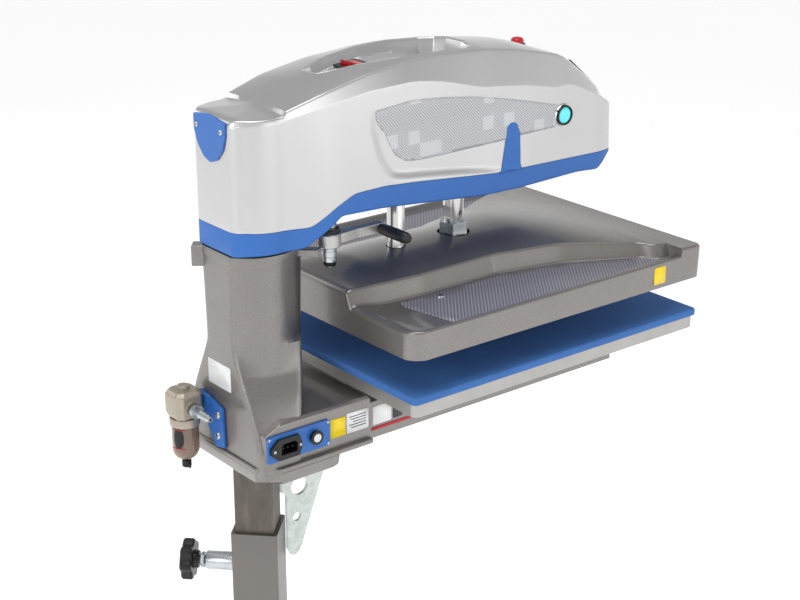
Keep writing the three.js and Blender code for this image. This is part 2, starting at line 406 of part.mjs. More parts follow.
// ---------------------------------------------------------------- upper heat platen
const RIDGE = [[-256, 200], [-214, 200], [-212, 172], [-190, 168], [-184, 148], [-176, 146], [-160, 138], [-79, 95], [20, 74], [150, 76], [200, 72], [256, 64]];
function coverTop(y) {
  const roll = 1 - sstep(228, 256, y) * 0.6;
  return lerp(96, 104, sstep(-256, -60, y)) * 1 - 0 * roll;
}
{
  const ys = [-256, -252, -244, -228, -214, -211, -205, -190, -186, -176, -165, -140, -110, -79, -30, 20, 80, 150, 196, 204, 212, 232, 246, 253, 256];
  const corner = (y) => { const r = 24, a = Math.abs(y) - (COVER_HL - r); return a > 0 ? COVER_HW - r + Math.sqrt(Math.max(0, r * r - a * a)) : COVER_HW; };
  const rows = ys.map((y) => {
    const hw = Math.max(COVER_HW - 24, corner(y)), edge = Math.abs(y) > 255.5;
    const ends = edge ? 8 : Math.abs(y) > 252.5 ? 3 : Math.abs(y) > 250.5 ? 1.5 : 0;
    const r = Math.min(interp(RIDGE, y), hw - 14), solidCorner = y < -211.5;
    const z0 = coverTop(y) - ends, bump = 14 * (1 - 0) * sstep(-256, -40, y) * (1 - sstep(190, 256, y));
    const rimZ = Math.min(86 - ends, z0), fl = y > 204 ? lerp(79, 84, sstep(204, 250, y)) - ends : 79;
    const P = solidCorner
      ? [[hw, z0 - 7], [hw - 3, z0 - 2], [hw - 8, z0], [hw - 9, z0], [hw - 11, z0], [hw - 13, z0], [hw * 0.55, z0 + bump * 0.4]]
      : [[hw, rimZ - 6], [hw - 2, rimZ - 1.5], [hw - 6, rimZ], [hw - 13, fl], [r + 14 < hw - 16 ? r + 14 : hw - 16, fl], [Math.min(r + 4, hw - 20), z0], [Math.min(r - 6, hw - 26), z0 + bump * 0.12]];
    const top = [...P.map((p) => [p[0], p[1]]), [P[6][0] * 0.5, z0 + bump * 0.7], [0, z0 + bump]];
    const right = top, left = top.slice(0, 8).reverse().map((p) => [-p[0], p[1]]);
    const loopTop = [...right, ...left].map((p) => [p[0], y, p[1]]);
    return [[hw - 1.5, y, OPEN], ...loopTop, [-hw + 1.5, y, OPEN]];
  });
  const shell = loft(rows);
  const m = cut(shell, prismZ(rrect(-200, 200, -250, 250, 18, 4), 40, 70.3), at(rod(22.5, 60, 140, 32), 0, ROD_Y), at(rod(12.4, 60, 140, 28), 0, GUIDE_Y));
  add('platen_cover', m, 'grey_paint');
  add('heater_plate', prismZ(rrect(-199.5, 199.5, -249.5, 249.5, 17.5, 4), 47.6, 62), 'raw_aluminium');
  add('insulation_blanket', prismZ(rrect(-197, 197, -247, 247, 16, 4), 62.3, 70), 'insulation');
  const rodPts = [[0, 71], [14.2, 71], [14.2, 262], [0, 262]];
  const flat = (s) => box(-20, 20, ROD_Y + (s > 0 ? 11.8 : -30), ROD_Y + (s > 0 ? 30 : -11.8), 139, 156);
  add('piston_rod', cut(at(lathe(rodPts, 32), 0, ROD_Y), flat(1), flat(-1)), 'chrome');
  const hexn = circle(0, ROD_Y, 21.4, 6);
  add('rod_nut', cut(meet(prismZ(hexn, 108, 134), at(lathe([[0, 108], [22, 108], [22, 130.5], [18.5, 134], [0, 134]], 24), 0, ROD_Y)), at(rod(14.5, 90, 150, 32), 0, ROD_Y)), 'zinc');
  add('guide_shaft', at(lathe([[0, 71], [11.9, 71], [11.9, 310], [10.5, 312], [0, 312]], 28), 0, GUIDE_Y), 'chrome');
}

export default rootGroup;
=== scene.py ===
import math
import bpy
import bmesh
import numpy as np
from mathutils import Vector, Matrix, geometry

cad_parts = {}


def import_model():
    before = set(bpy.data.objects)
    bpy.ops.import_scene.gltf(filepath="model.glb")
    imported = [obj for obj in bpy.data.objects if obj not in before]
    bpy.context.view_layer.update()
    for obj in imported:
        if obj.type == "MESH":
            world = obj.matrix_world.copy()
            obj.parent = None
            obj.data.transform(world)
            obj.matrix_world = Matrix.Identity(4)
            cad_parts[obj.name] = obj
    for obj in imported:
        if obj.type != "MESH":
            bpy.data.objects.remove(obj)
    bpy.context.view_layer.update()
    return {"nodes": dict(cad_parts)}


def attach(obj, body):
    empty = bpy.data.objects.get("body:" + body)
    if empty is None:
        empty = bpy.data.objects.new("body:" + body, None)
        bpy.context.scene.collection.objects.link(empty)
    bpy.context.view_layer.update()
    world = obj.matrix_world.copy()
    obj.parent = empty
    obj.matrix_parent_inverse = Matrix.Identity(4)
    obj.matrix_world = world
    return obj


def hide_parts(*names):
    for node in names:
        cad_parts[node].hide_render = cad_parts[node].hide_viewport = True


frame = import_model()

NODES = frame["nodes"]

# ------------------------------------------------------------------ frame of the drawing
# Shapes are drawn in millimetres about the middle of the lower pad's top face
# (+X operator's right, operator at -Y, +Z up) and placed in the row frame here.
Y0, Z0 = -174.2, 950.0
AX = 350.0      # swing axis
MY = 354.0      # mast axis


def W(p):
    return (p[0] * 0.001, (p[1] + Y0) * 0.001, (p[2] + Z0) * 0.001)


def sstep(a, b, v):
    t = np.clip((np.asarray(v, float) - a) / (b - a), 0, 1)
    return t * t * (3 - 2 * t)


def curve(tab, sigma=0.0, lo=None, hi=None, keep=()):
    """Piecewise-linear table softened by a small Gaussian, as a function."""
    x = np.array([t[0] for t in tab], float)
    y = np.array([t[1] for t in tab], float)
    if sigma <= 0:
        return lambda v: np.interp(v, x, y)
    g = np.arange(x[0] - 60, x[-1] + 60, 0.5)
    first = (y[1] - y[0]) / (x[1] - x[0])
    last = (y[-1] - y[-2]) / (x[-1] - x[-2])
    f = np.interp(g, x, y)
    f = np.where(g < x[0], y[0] + first * (g - x[0]), f)
    f = np.where(g > x[-1], y[-1] + last * (g - x[-1]), f)
    k = np.arange(-int(sigma * 8), int(sigma * 8) + 1) * 0.5
    w = np.exp(-0.5 * (k / sigma) ** 2)
    w /= w.sum()
    pad = len(k) // 2
    s = np.convolve(np.pad(f, pad, mode="edge"), w, mode="valid")
    for a, b in keep:                       # stretches that stay as drawn
        m = sstep(a - 2 * sigma, a, g) * (1 - sstep(b, b + 2 * sigma, g))
        s = s * (1 - m) + f * m
    return lambda v: np.interp(v, g, s)


# ------------------------------------------------------------------ materials
def lin(r, g, b):
    out = []
    for c in (r, g, b):
        c = c / 255.0
        out.append(c / 12.92 if c <= 0.04045 else ((c + 0.055) / 1.055) ** 2.4)
    return (*out, 1.0)


class Mat:
    """A small builder for procedural materials in object space."""

    def __init__(self, name, base, rough=0.5, metal=0.0, coat=0.0, coat_rough=0.1, spec=0.5,
                 trans=0.0, ior=1.45, emit=None, emit_k=0.0):
        self.m = bpy.data.materials.new(name)
        self.m.use_nodes = True
        self.t = self.m.node_tree
        self.b = self.t.nodes["Principled BSDF"]
        self.b.inputs["Base Color"].default_value = base
        self.b.inputs["Roughness"].default_value = rough
        self.b.inputs["Metallic"].default_value = metal
        self.b.inputs["Coat Weight"].default_value = coat
        self.b.inputs["Coat Roughness"].default_value = coat_rough
        self.b.inputs["Specular IOR Level"].default_value = spec
        self.b.inputs["Transmission Weight"].default_value = trans
        self.b.inputs["IOR"].default_value = ior
        if emit:
            self.b.inputs["Emission Color"].default_value = emit
            self.b.inputs["Emission Strength"].default_value = emit_k
        self.base, self.rough = base, rough
        tc = self.t.nodes.new("ShaderNodeTexCoord")
        self.co = tc.outputs["Object"]

    def node(self, kind, **inputs):
        n = self.t.nodes.new(kind)
        for k, v in inputs.items():
            n.inputs[k.replace("_", " ")].default_value = v
        return n

    def link(self, a, b):
        self.t.links.new(a, b)

    def mapping(self, scale=(1, 1, 1), rot=(0, 0, 0)):
        n = self.t.nodes.new("ShaderNodeMapping")
        n.inputs["Scale"].default_value = scale
        n.inputs["Rotation"].default_value = rot
        self.link(self.co, n.inputs["Vector"])
        return n.outputs["Vector"]

    def noise(self, scale, detail=3.0, rough=0.5, vec=None):
        n = self.node("ShaderNodeTexNoise", Scale=scale, Detail=detail, Roughness=rough)
        self.link(vec or self.co, n.inputs["Vector"])
        return n.outputs["Fac"]

    def ramp(self, fac, stops):
        n = self.t.nodes.new("ShaderNodeValToRGB")
        e = n.color_ramp.elements
        while len(e) < len(stops):
            e.new(0.5)
        for el, (p, c) in zip(e, stops):
            el.position = p
            el.color = c
        self.link(fac, n.inputs["Fac"])
        return n.outputs["Color"]

    def mix(self, fac, a, b, blend="MIX"):
        n = self.t.nodes.new("ShaderNodeMix")
        n.data_type = "RGBA"
        n.blend_type = blend
        for s, v in ((n.inputs[0], fac), (n.inputs[6], a), (n.inputs[7], b)):
            if hasattr(v, "links") or isinstance(v, bpy.types.NodeSocket):
                self.link(v, s)
            else:
                s.default_value = v
        return n.outputs[2]

    def math(self, op, a, b=0.0, c=0.0, clamp=False):
        n = self.t.nodes.new("ShaderNodeMath")
        n.operation = op
        n.use_clamp = clamp
        for s, v in zip(n.inputs, (a, b, c)):
            if isinstance(v, bpy.types.NodeSocket):
                self.link(v, s)
            else:
                s.default_value = v
        return n.outputs[0]

    def vary(self, scale=6.0, amount=0.08, rough_amount=0.06, detail=4.0):
        """Slow colour and roughness drift over the whole piece."""
        f = self.noise(scale, detail, 0.55)
        k = 1.0 - amount
        c = self.base
        dark = (c[0] * k, c[1] * k, c[2] * k, 1)
        light = (min(1, c[0] * (1 + amount * 0.6)), min(1, c[1] * (1 + amount * 0.6)), min(1, c[2] * (1 + amount * 0.6)), 1)
        col = self.ramp(f, [(0.3, dark), (0.7, light)])
        self.col = col
        self.link(col, self.b.inputs["Base Color"])
        r = self.math("MULTIPLY_ADD", self.noise(scale * 3.1, 3.0), rough_amount * 2, self.rough - rough_amount)
        self.link(r, self.b.inputs["Roughness"])
        return self

    def bump(self, height, strength=0.2, dist=0.001):
        n = self.node("ShaderNodeBump", Strength=strength, Distance=dist)
        self.link(height, n.inputs["Height"])
        prev = self.b.inputs["Normal"]
        if prev.is_linked:
            self.link(prev.links[0].from_socket, n.inputs["Normal"])
        self.link(n.outputs["Normal"], self.b.inputs["Normal"])
        return self


MAT = {}


def build_materials():
    # satin silver metallic paint: fine flake and a thin clear layer
    m = Mat("silver_paint", lin(208, 208, 208), 0.30, 0.80, coat=0.45, coat_rough=0.10).vary(4, 0.03, 0.03)
    m.bump(m.noise(1900, 2.0), 0.05, 0.0003)
    MAT["silver"] = m.m
    # warm grey hammered metallic paint
    m = Mat("grey_paint", lin(134, 130, 127), 0.36, 0.78, coat=0.55, coat_rough=0.07).vary(9, 0.05, 0.04)
    v = m.node("ShaderNodeTexVoronoi", Scale=620.0)
    m.link(m.co, v.inputs["Vector"])
    flake = m.ramp(v.outputs["Distance"], [(0.0, (0.80, 0.80, 0.80, 1)), (0.55, (1.12, 1.12, 1.12, 1))])
    m.link(m.mix(1.0, m.col, flake, "MULTIPLY"), m.b.inputs["Base Color"])
    m.bump(m.noise(520, 3.0, 0.6), 0.16, 0.0006)
    m.bump(m.noise(2100, 2.0), 0.08, 0.0003)
    MAT["grey"] = m.m
    # blue powder coat
    m = Mat("blue_paint", lin(50, 110, 190), 0.42, 0.0, coat=0.12, coat_rough=0.25, spec=0.45).vary(7, 0.05, 0.04)
    m.bump(m.noise(1300, 3.0), 0.06, 0.0003)
    MAT["blue"] = m.m
    # blue silicone sponge
    m = Mat("blue_sponge", lin(70, 118, 186), 0.82, 0.0, spec=0.3).vary(14, 0.08, 0.05)
    m.bump(m.noise(900, 4.0, 0.7), 0.22, 0.0005)
    m.bump(m.noise(120, 2.0), 0.08, 0.0008)
    MAT["pad"] = m.m
    # sawn and milled aluminium
    m = Mat("bare_aluminium", lin(186, 184, 180), 0.46, 0.78).vary(20, 0.08, 0.08)
    fine = m.noise(1.0, 3.0, 0.6, m.mapping((60, 60, 2600)))
    m.bump(fine, 0.18, 0.0004)
    m.bump(m.noise(700, 4.0, 0.7), 0.12, 0.0004)
    MAT["alu"] = m.m
    m = Mat("cast_aluminium", lin(200, 199, 195), 0.38, 0.85).vary(30, 0.10, 0.10)
    m.bump(m.noise(420, 4.0, 0.65), 0.25, 0.0008)
    MAT["cast"] = m.m
    m = Mat("polished_chrome", lin(222, 222, 220), 0.13, 1.0).vary(40, 0.03, 0.03)
    m.bump(m.noise(1.0, 2.0, 0.5, m.mapping((400, 400, 2500))), 0.015, 0.0002)
    MAT["chrome"] = m.m
    m = Mat("zinc_plate", lin(196, 202, 206), 0.26, 0.95).vary(60, 0.12, 0.10)
    m.bump(m.noise(500, 4.0, 0.6), 0.08, 0.0004)
    MAT["zinc"] = m.m
    # dark bare steel tube with rubbed marks along its length
    m = Mat("dark_steel", lin(104, 99, 92), 0.48, 0.6).vary(16, 0.18, 0.10)
    wear = m.noise(1.0, 5.0, 0.7, m.mapping((70, 70, 16)))
    streak = m.ramp(wear, [(0.52, (1, 1, 1, 1)), (0.68, (1.35, 1.33, 1.28, 1))])
    m.link(m.mix(1.0, m.col, streak, "MULTIPLY"), m.b.inputs["Base Color"])
    m.bump(m.noise(260, 5.0, 0.7), 0.15, 0.0005)
    MAT["dark"] = m.m
    m = Mat("tube_paint", lin(120, 117, 113), 0.42, 0.55, coat=0.15, coat_rough=0.25).vary(8, 0.05, 0.05)
    m.bump(m.noise(700, 3.0, 0.6), 0.12, 0.0005)
    MAT["tube"] = m.m
    m = Mat("galvanised", lin(204, 211, 207), 0.38, 0.7).vary(30, 0.06, 0.06)
    v = m.node("ShaderNodeTexVoronoi", Scale=170.0)
    m.link(m.co, v.inputs["Vector"])
    sp = m.ramp(v.outputs["Color"], [(0.2, (0.90, 0.91, 0.91, 1)), (0.8, (1.05, 1.05, 1.04, 1))])
    m.link(m.mix(1.0, m.col, sp, "MULTIPLY"), m.b.inputs["Base Color"])
    MAT["galv"] = m.m
    m = Mat("black_plastic", lin(24, 24, 26), 0.34, 0.0, spec=0.5).vary(40, 0.15, 0.07)
    m.bump(m.noise(1500, 2.0), 0.10, 0.0003)
    MAT["black"] = m.m
    m = Mat("dark_interior", lin(44, 43, 42), 0.6, 0.2).vary(20, 0.1, 0.05)
    m.bump(m.noise(400, 3.0), 0.1, 0.0004)
    MAT["inside"] = m.m
    m = Mat("black_rubber", lin(22, 22, 22), 0.75, 0.0, spec=0.35).vary(40, 0.2, 0.08)
    m.bump(m.noise(800, 4.0, 0.7), 0.15, 0.0004)
    MAT["rubber"] = m.m
    m = Mat("wheel_tread", lin(92, 92, 94), 0.62, 0.0, spec=0.4).vary(30, 0.1, 0.08)
    m.bump(m.noise(600, 3.0), 0.12, 0.0004)
    MAT["tread"] = m.m
    # red plastic; its small emission is painted glow that brightens the red where it lies in shade
    m = Mat("red_plastic", lin(190, 18, 30), 0.24, 0.0, coat=0.3, coat_rough=0.08,
            emit=lin(200, 10, 20), emit_k=0.06).vary(50, 0.08, 0.05)
    MAT["red"] = m.m
    # teal caps; the emission is painted glow that keeps them bright whatever light falls on them
    m = Mat("teal_lens", lin(98, 218, 228), 0.20, 0.0, coat=0.5, coat_rough=0.06,
            emit=lin(90, 222, 232), emit_k=0.35).vary(60, 0.05, 0.04)
    MAT["teal"] = m.m
    m = Mat("bronze", lin(176, 132, 70), 0.34, 0.95).vary(60, 0.1, 0.08)
    MAT["bronze"] = m.m
    m = Mat("insulation", lin(222, 214, 192), 0.95, 0.0, spec=0.2).vary(60, 0.1, 0.03)
    m.bump(m.noise(300, 6.0, 0.75), 0.5, 0.001)
    MAT["insul"] = m.m
    m = Mat("beige_metal", lin(176, 166, 152), 0.36, 0.55, coat=0.2, coat_rough=0.2).vary(30, 0.08, 0.06)
    m.bump(m.noise(600, 3.0, 0.6), 0.14, 0.0005)
    MAT["beige"] = m.m
    m = Mat("smoky_bowl", lin(176, 152, 132), 0.10, 0.0, trans=0.62, ior=1.5, coat=0.4, coat_rough=0.05).vary(30, 0.05, 0.03)
    MAT["bowl"] = m.m
    # printed carbon weave, fine twill of two greys
    for key, a, b, scale in (("decal", (128, 130, 136), (206, 207, 210), 1.0), ("tray", (128, 128, 130), (196, 196, 198), 1.0)):
        m = Mat("carbon_" + key, lin(*a), 0.34, 0.15, coat=0.35, coat_rough=0.15)
        sep = m.node("ShaderNodeSeparateXYZ")
        m.link(m.co, sep.inputs[0])
        if key == "decal":
            u, w = sep.outputs["Y"], sep.outputs["Z"]
        else:
            u, w = sep.outputs["X"], sep.outputs["Y"]
        f = 2 * math.pi / 0.0030 * scale
        s1 = m.math("SINE", m.math("MULTIPLY", m.math("ADD", u, w), f * 0.7071))
        s2 = m.math("SINE", m.math("MULTIPLY", m.math("SUBTRACT", u, w), f * 0.7071))
        wv = m.math("MULTIPLY_ADD", m.math("MAXIMUM", s1, s2), 0.5, 0.5, clamp=True)
        col = m.ramp(wv, [(0.30, lin(*a)), (0.85, lin(*b))])
        if key == "decal":                    # faint paler squares scattered over the weave
            v = m.t.nodes.new("ShaderNodeTexWhiteNoise")
            v.noise_dimensions = "2D"
            cell = m.t.nodes.new("ShaderNodeCombineXYZ")
            m.link(m.math("FLOOR", m.math("DIVIDE", u, 0.0175)), cell.inputs[0])
            m.link(m.math("FLOOR", m.math("DIVIDE", w, 0.0175)), cell.inputs[1])
            m.link(cell.outputs[0], v.inputs["Vector"])
            pick = m.math("GREATER_THAN", v.outputs["Value"], 0.80)
            col = m.mix(m.math("MULTIPLY", pick, 0.45), col, lin(226, 227, 230))
        m.link(col, m.b.inputs["Base Color"])
        m.bump(wv, 0.12, 0.0003)
        MAT[key] = m.m
    # striped insert in the upper platen
    m = Mat("striped_insert", lin(142, 140, 150), 0.38, 0.35, coat=0.2, coat_rough=0.2)
    sep = m.node("ShaderNodeSeparateXYZ")
    m.link(m.co, sep.inputs[0])
    st = m.math("SINE", m.math("MULTIPLY", m.math("ADD", m.math("MULTIPLY", sep.outputs["X"], 0.624), m.math("MULTIPLY", sep.outputs["Y"], 0.781)), 2 * math.pi / 0.0042))
    sf = m.math("MULTIPLY_ADD", st, 0.5, 0.5)
    m.link(m.ramp(sf, [(0.2, lin(118, 116, 128)), (0.8, lin(160, 158, 168))]), m.b.inputs["Base Color"])
    m.bump(sf, 0.15, 0.0004)
    MAT["insert"] = m.m
    for key, c, r in (("yellow", (250, 220, 28), 0.35), ("label", (238, 239, 240), 0.42), ("ink", (70, 72, 76), 0.5),
                      ("redline", (186, 30, 48), 0.4), ("darklabel", (52, 56, 62), 0.42), ("pale", (226, 228, 228), 0.3)):
        m = Mat("print_" + key, lin(*c), r, 0.0, coat=0.2, coat_rough=0.15).vary(60, 0.03, 0.04)
        MAT[key] = m.m
    m = Mat("display_glass", lin(14, 16, 20), 0.10, 0.0, coat=0.6, coat_rough=0.03).vary(10, 0.1, 0.02)
    MAT["display"] = m.m


build_materials()

# ------------------------------------------------------------------ mesh helpers
PIECES = []


def obj(name, verts, faces, mat, body, smooth=True, replaces=(), slot=None, mats=None, face_mats=None, world=False):
    me = bpy.data.meshes.new(name)
    me.from_pydata([v if world else W(v) for v in verts], [], [tuple(f) for f in faces])
    me.validate()
    o = bpy.data.objects.new(name, me)
    bpy.context.scene.collection.objects.link(o)
    for m in (mats or [mat]):
        me.materials.append(MAT[m])
    if face_mats is not None:
        for p, i in zip(me.polygons, face_mats):
            p.material_index = i
    bm = bmesh.new()
    bm.from_mesh(me)
    bmesh.ops.recalc_face_normals(bm, faces=bm.faces)
    bm.to_mesh(me)
    bm.free()
    for p in me.polygons:
        p.use_smooth = smooth
    PIECES.append((o, body, tuple(replaces), slot))
    return o


def bevel(o, mm, seg=3, angle=32, weighted=True):
    b = o.modifiers.new("edge", "BEVEL")
    b.width = mm * 0.001
    b.segments = seg
    b.limit_method = "ANGLE"
    b.angle_limit = math.radians(angle)
    b.use_clamp_overlap = True
    if weighted:
        w = o.modifiers.new("shade", "WEIGHTED_NORMAL")
        w.keep_sharp = False
        w.weight = 80
    return o


def split(o, angle=38):
    e = o.modifiers.new("sharp", "EDGE_SPLIT")
    e.split_angle = math.radians(angle)
    return o


def loft(loops, close=True, caps=True):
    n = len(loops[0])
    verts = [tuple(p) for l in loops for p in l]
    faces = []
    m = n if close else n - 1
    for i in range(len(loops) - 1):
        for j in range(m):
            a, b = i * n + j, i * n + (j + 1) % n
            faces.append((a, b, b + n, a + n))
    if caps:
        faces.append(tuple(range(n))[::-1])
        faces.append(tuple((len(loops) - 1) * n + k for k in range(n)))
    return verts, faces


def round_poly(pts, radii, seg=6, closed=False):
    """Each corner becomes an arc of seg+1 points; ends of an open line stay."""
    P = [np.array(p, float) for p in pts]
    n = len(P)
    out = []
    for i in range(n):
        if not closed and i in (0, n - 1):
            out.append(P[i])
            continue
        a, b, c = P[i - 1], P[i], P[(i + 1) % n]
        u, v = a - b, c - b
        lu, lv = np.linalg.norm(u), np.linalg.norm(v)
        r = radii[i]
        if lu < 1e-6 or lv < 1e-6 or r <= 0:
            out += [b.copy() for _ in range(seg + 1)]
            continue
        u, v = u / lu, v / lv
        cosang = float(np.clip(np.dot(u, v), -1, 1))
        half = math.acos(cosang) / 2
        if half > math.pi / 2 - 1e-3:
            out += [b.copy() for _ in range(seg + 1)]
            continue
        t = min(r / max(math.tan(half), 1e-6), lu * 0.48, lv * 0.48)
        rr = t * math.tan(half)
        bis = (u + v) / np.linalg.norm(u + v)
        cen = b + bis * (rr / math.sin(half))
        p0, p1 = b + u * t - cen, b + v * t - cen
        ang = math.acos(float(np.clip(np.dot(p0, p1) / (rr * rr + 1e-12), -1, 1)))
        for k in range(seg + 1):
            f = k / seg
            if ang < 1e-4:
                q = p0 * (1 - f) + p1 * f
            else:
                q = (math.sin((1 - f) * ang) * p0 + math.sin(f * ang) * p1) / math.sin(ang)
            out.append(cen + q)
    return out


def lathe(name, profile, mat, body, origin=(0, 0, 0), axis=(0, 0, 1), n=96, radii=None, **kw):
    """Solid of revolution from [r, h] points, corners rounded, along axis from origin (mm)."""
    prof = profile if radii is None else [tuple(p) for p in round_poly(profile, radii, 4)]
    ax = Vector(axis).normalized()
    q = Vector((0, 0, 1)).rotation_difference(ax)
    verts, faces, rings = [], [], []
    o = Vector(origin)
    for r, h in prof:
        if r < 1e-4:
            rings.append([len(verts)])
            verts.append(o + q @ Vector((0, 0, h)))
        else:
            ring = []
            for k in range(n):
                t = 2 * math.pi * k / n
                ring.append(len(verts))
                verts.append(o + q @ Vector((r * math.cos(t), r * math.sin(t), h)))
            rings.append(ring)
    for a, b in zip(rings[:-1], rings[1:]):
        if len(a) == 1 and len(b) == 1:
            continue
        for k in range(n):
            k2 = (k + 1) % n
            if len(a) == 1:
                faces.append((a[0], b[k], b[k2]))
            elif len(b) == 1:
                faces.append((a[k], b[0], a[k2]))
            else:
                faces.append((a[k], b[k], b[k2], a[k2]))
    ob = obj(name, [tuple(v) for v in verts], faces, mat, body, **kw)
    return split(ob, 42)


def prism(name, pts2, h0, h1, mat, body, frame3=None, bev=0.8, seg=3, **kw):
    """Extrusion of a 2-D outline. frame3 maps (u, v, h) to drawing space."""
    f = frame3 or (lambda u, v, h: (u, v, h))
    n = len(pts2)
    verts = [f(p[0], p[1], h0) for p in pts2] + [f(p[0], p[1], h1) for p in pts2]
    faces = [tuple(range(n))[::-1], tuple(range(n, 2 * n))]
    faces += [(i, (i + 1) % n, n + (i + 1) % n, n + i) for i in range(n)]
    o = obj(name, verts, faces, mat, body, **kw)
    if bev > 0:
        bevel(o, bev, seg)
    return o


XF = lambda u, v, h: (h, u, v)          # outline in (y, z), height along x
YF = lambda u, v, h: (u, h, v)          # outline in (x, z), height along y


def rrect(x0, x1, y0, y1, r, seg=8):
    out = []
    for cx, cy, a in ((x1 - r, y1 - r, 0), (x0 + r, y1 - r, 90), (x0 + r, y0 + r, 180), (x1 - r, y0 + r, 270)):
        for i in range(seg + 1):
            t = math.radians(a + 90 * i / seg)
            out.append((cx + r * math.cos(t), cy + r * math.sin(t)))
    return out


def circle(cx, cy, r, n=48):
    return [(cx + r * math.cos(2 * math.pi * i / n), cy + r * math.sin(2 * math.pi * i / n)) for i in range(n)]


def cutter(name, verts, faces):
    me = bpy.data.meshes.new(name)
    me.from_pydata([W(v) for v in verts], [], [tuple(f) for f in faces])
    bm = bmesh.new()
    bm.from_mesh(me)
    bmesh.ops.recalc_face_normals(bm, faces=bm.faces)
    bm.to_mesh(me)
    bm.free()
    o = bpy.data.objects.new(name, me)
    bpy.context.scene.collection.objects.link(o)
    return o


def subtract(o, *cutters):
    """Boolean difference, applied, so that no helper object stays in the scene."""
    for c in cutters:
        m = o.modifiers.new("cut", "BOOLEAN")
        m.operation = "DIFFERENCE"
        m.solver = "EXACT"
        m.object = c
    dg = bpy.context.evaluated_depsgraph_get()
    me = bpy.data.meshes.new_from_object(o.evaluated_get(dg))
    o.modifiers.clear()
    old = o.data
    o.data = me
    bpy.data.meshes.remove(old)
    for c in cutters:
        bpy.data.objects.remove(c)
    return o


def cyl_verts(r, p0, p1, n=48):
    a, b = Vector(p0), Vector(p1)
    q = Vector((0, 0, 1)).rotation_difference((b - a).normalized())
    verts = []
    for e in (a, b):
        for k in range(n):
            t = 2 * math.pi * k / n
            verts.append(tuple(e + q @ Vector((r * math.cos(t), r * math.sin(t), 0))))
    faces = [tuple(range(n))[::-1], tuple(range(n, 2 * n))]
    faces += [(i, (i + 1) % n, n + (i + 1) % n, n + i) for i in range(n)]
    return verts, faces


def patch(name, outline, func, mat, body, step=4.0, thick=0.35, **kw):
    """A thin printed sheet or plate over a surface: outline in 2-D, func(u, v) gives the drawing-space point."""
    ring = []
    n = len(outline)
    for i in range(n):
        a, b = np.array(outline[i]), np.array(outline[(i + 1) % n])
        k = max(1, int(np.linalg.norm(b - a) / step))
        for j in range(k):
            ring.append(tuple(a + (b - a) * j / k))
    poly = np.array(ring)
    lo, hi = poly.min(0), poly.max(0)
    pts = [Vector(p) for p in ring]
    inner = []
    for x in np.arange(lo[0] + step * 0.5, hi[0], step):
        for y in np.arange(lo[1] + step * 0.5, hi[1], step):
            inside = False
            j = len(poly) - 1
            for i in range(len(poly)):
                xi, yi = poly[i]
                xj, yj = poly[j]
                if (yi > y) != (yj > y) and x < (xj - xi) * (y - yi) / (yj - yi) + xi:
                    inside = not inside
                j = i
            if inside and np.min(np.hypot(poly[:, 0] - x, poly[:, 1] - y)) > step * 0.5:
                inner.append(Vector((x, y)))
    res = geometry.delaunay_2d_cdt(pts + inner, [], [list(range(len(pts)))], 1, 1e-6)
    vco, faces = res[0], [list(f) for f in res[2]]
    verts = [func(v[0], v[1]) for v in vco]
    o = obj(name, verts, faces, mat, body, **kw)
    s = o.modifiers.new("thick", "SOLIDIFY")
    s.thickness = thick * 0.001
    s.offset = 0.0
    return o


def unite(o, *others):
    """Boolean union of closed solids into o, applied."""
    for c in others:
        m = o.modifiers.new("join", "BOOLEAN")
        m.operation = "UNION"
        m.solver = "EXACT"
        m.object = c
    dg = bpy.context.evaluated_depsgraph_get()
    me = bpy.data.meshes.new_from_object(o.evaluated_get(dg))
    o.modifiers.clear()
    old = o.data
    o.data = me
    bpy.data.meshes.remove(old)
    for c in others:
        bpy.data.objects.remove(c)
    return o


def cbox(x0, x1, y0, y1, z0, z1):
    v = [(x, y, z) for z in (z0, z1) for x, y in ((x0, y0), (x1, y0), (x1, y1), (x0, y1))]
    f = [(0, 3, 2, 1), (4, 5, 6, 7), (0, 1, 5, 4), (1, 2, 6, 5), (2, 3, 7, 6), (3, 0, 4, 7)]
    return v, f


def cprism(pts, z0, z1, fr=None):
    fr = fr or (lambda u, v, h: (u, v, h))
    n = len(pts)
    v = [fr(p[0], p[1], z0) for p in pts] + [fr(p[0], p[1], z1) for p in pts]
    f = [tuple(range(n))[::-1], tuple(range(n, 2 * n))] + [(i, (i + 1) % n, n + (i + 1) % n, n + i) for i in range(n)]
    return v, f


def cut_with(o, shapes):
    return subtract(o, *[cutter("cut_%d" % i, *s) for i, s in enumerate(shapes)])


def between(a, b, n):
    a, b = np.array(a, float), np.array(b, float)
    return [a + (b - a) * k / (n + 1) for k in range(1, n + 1)]


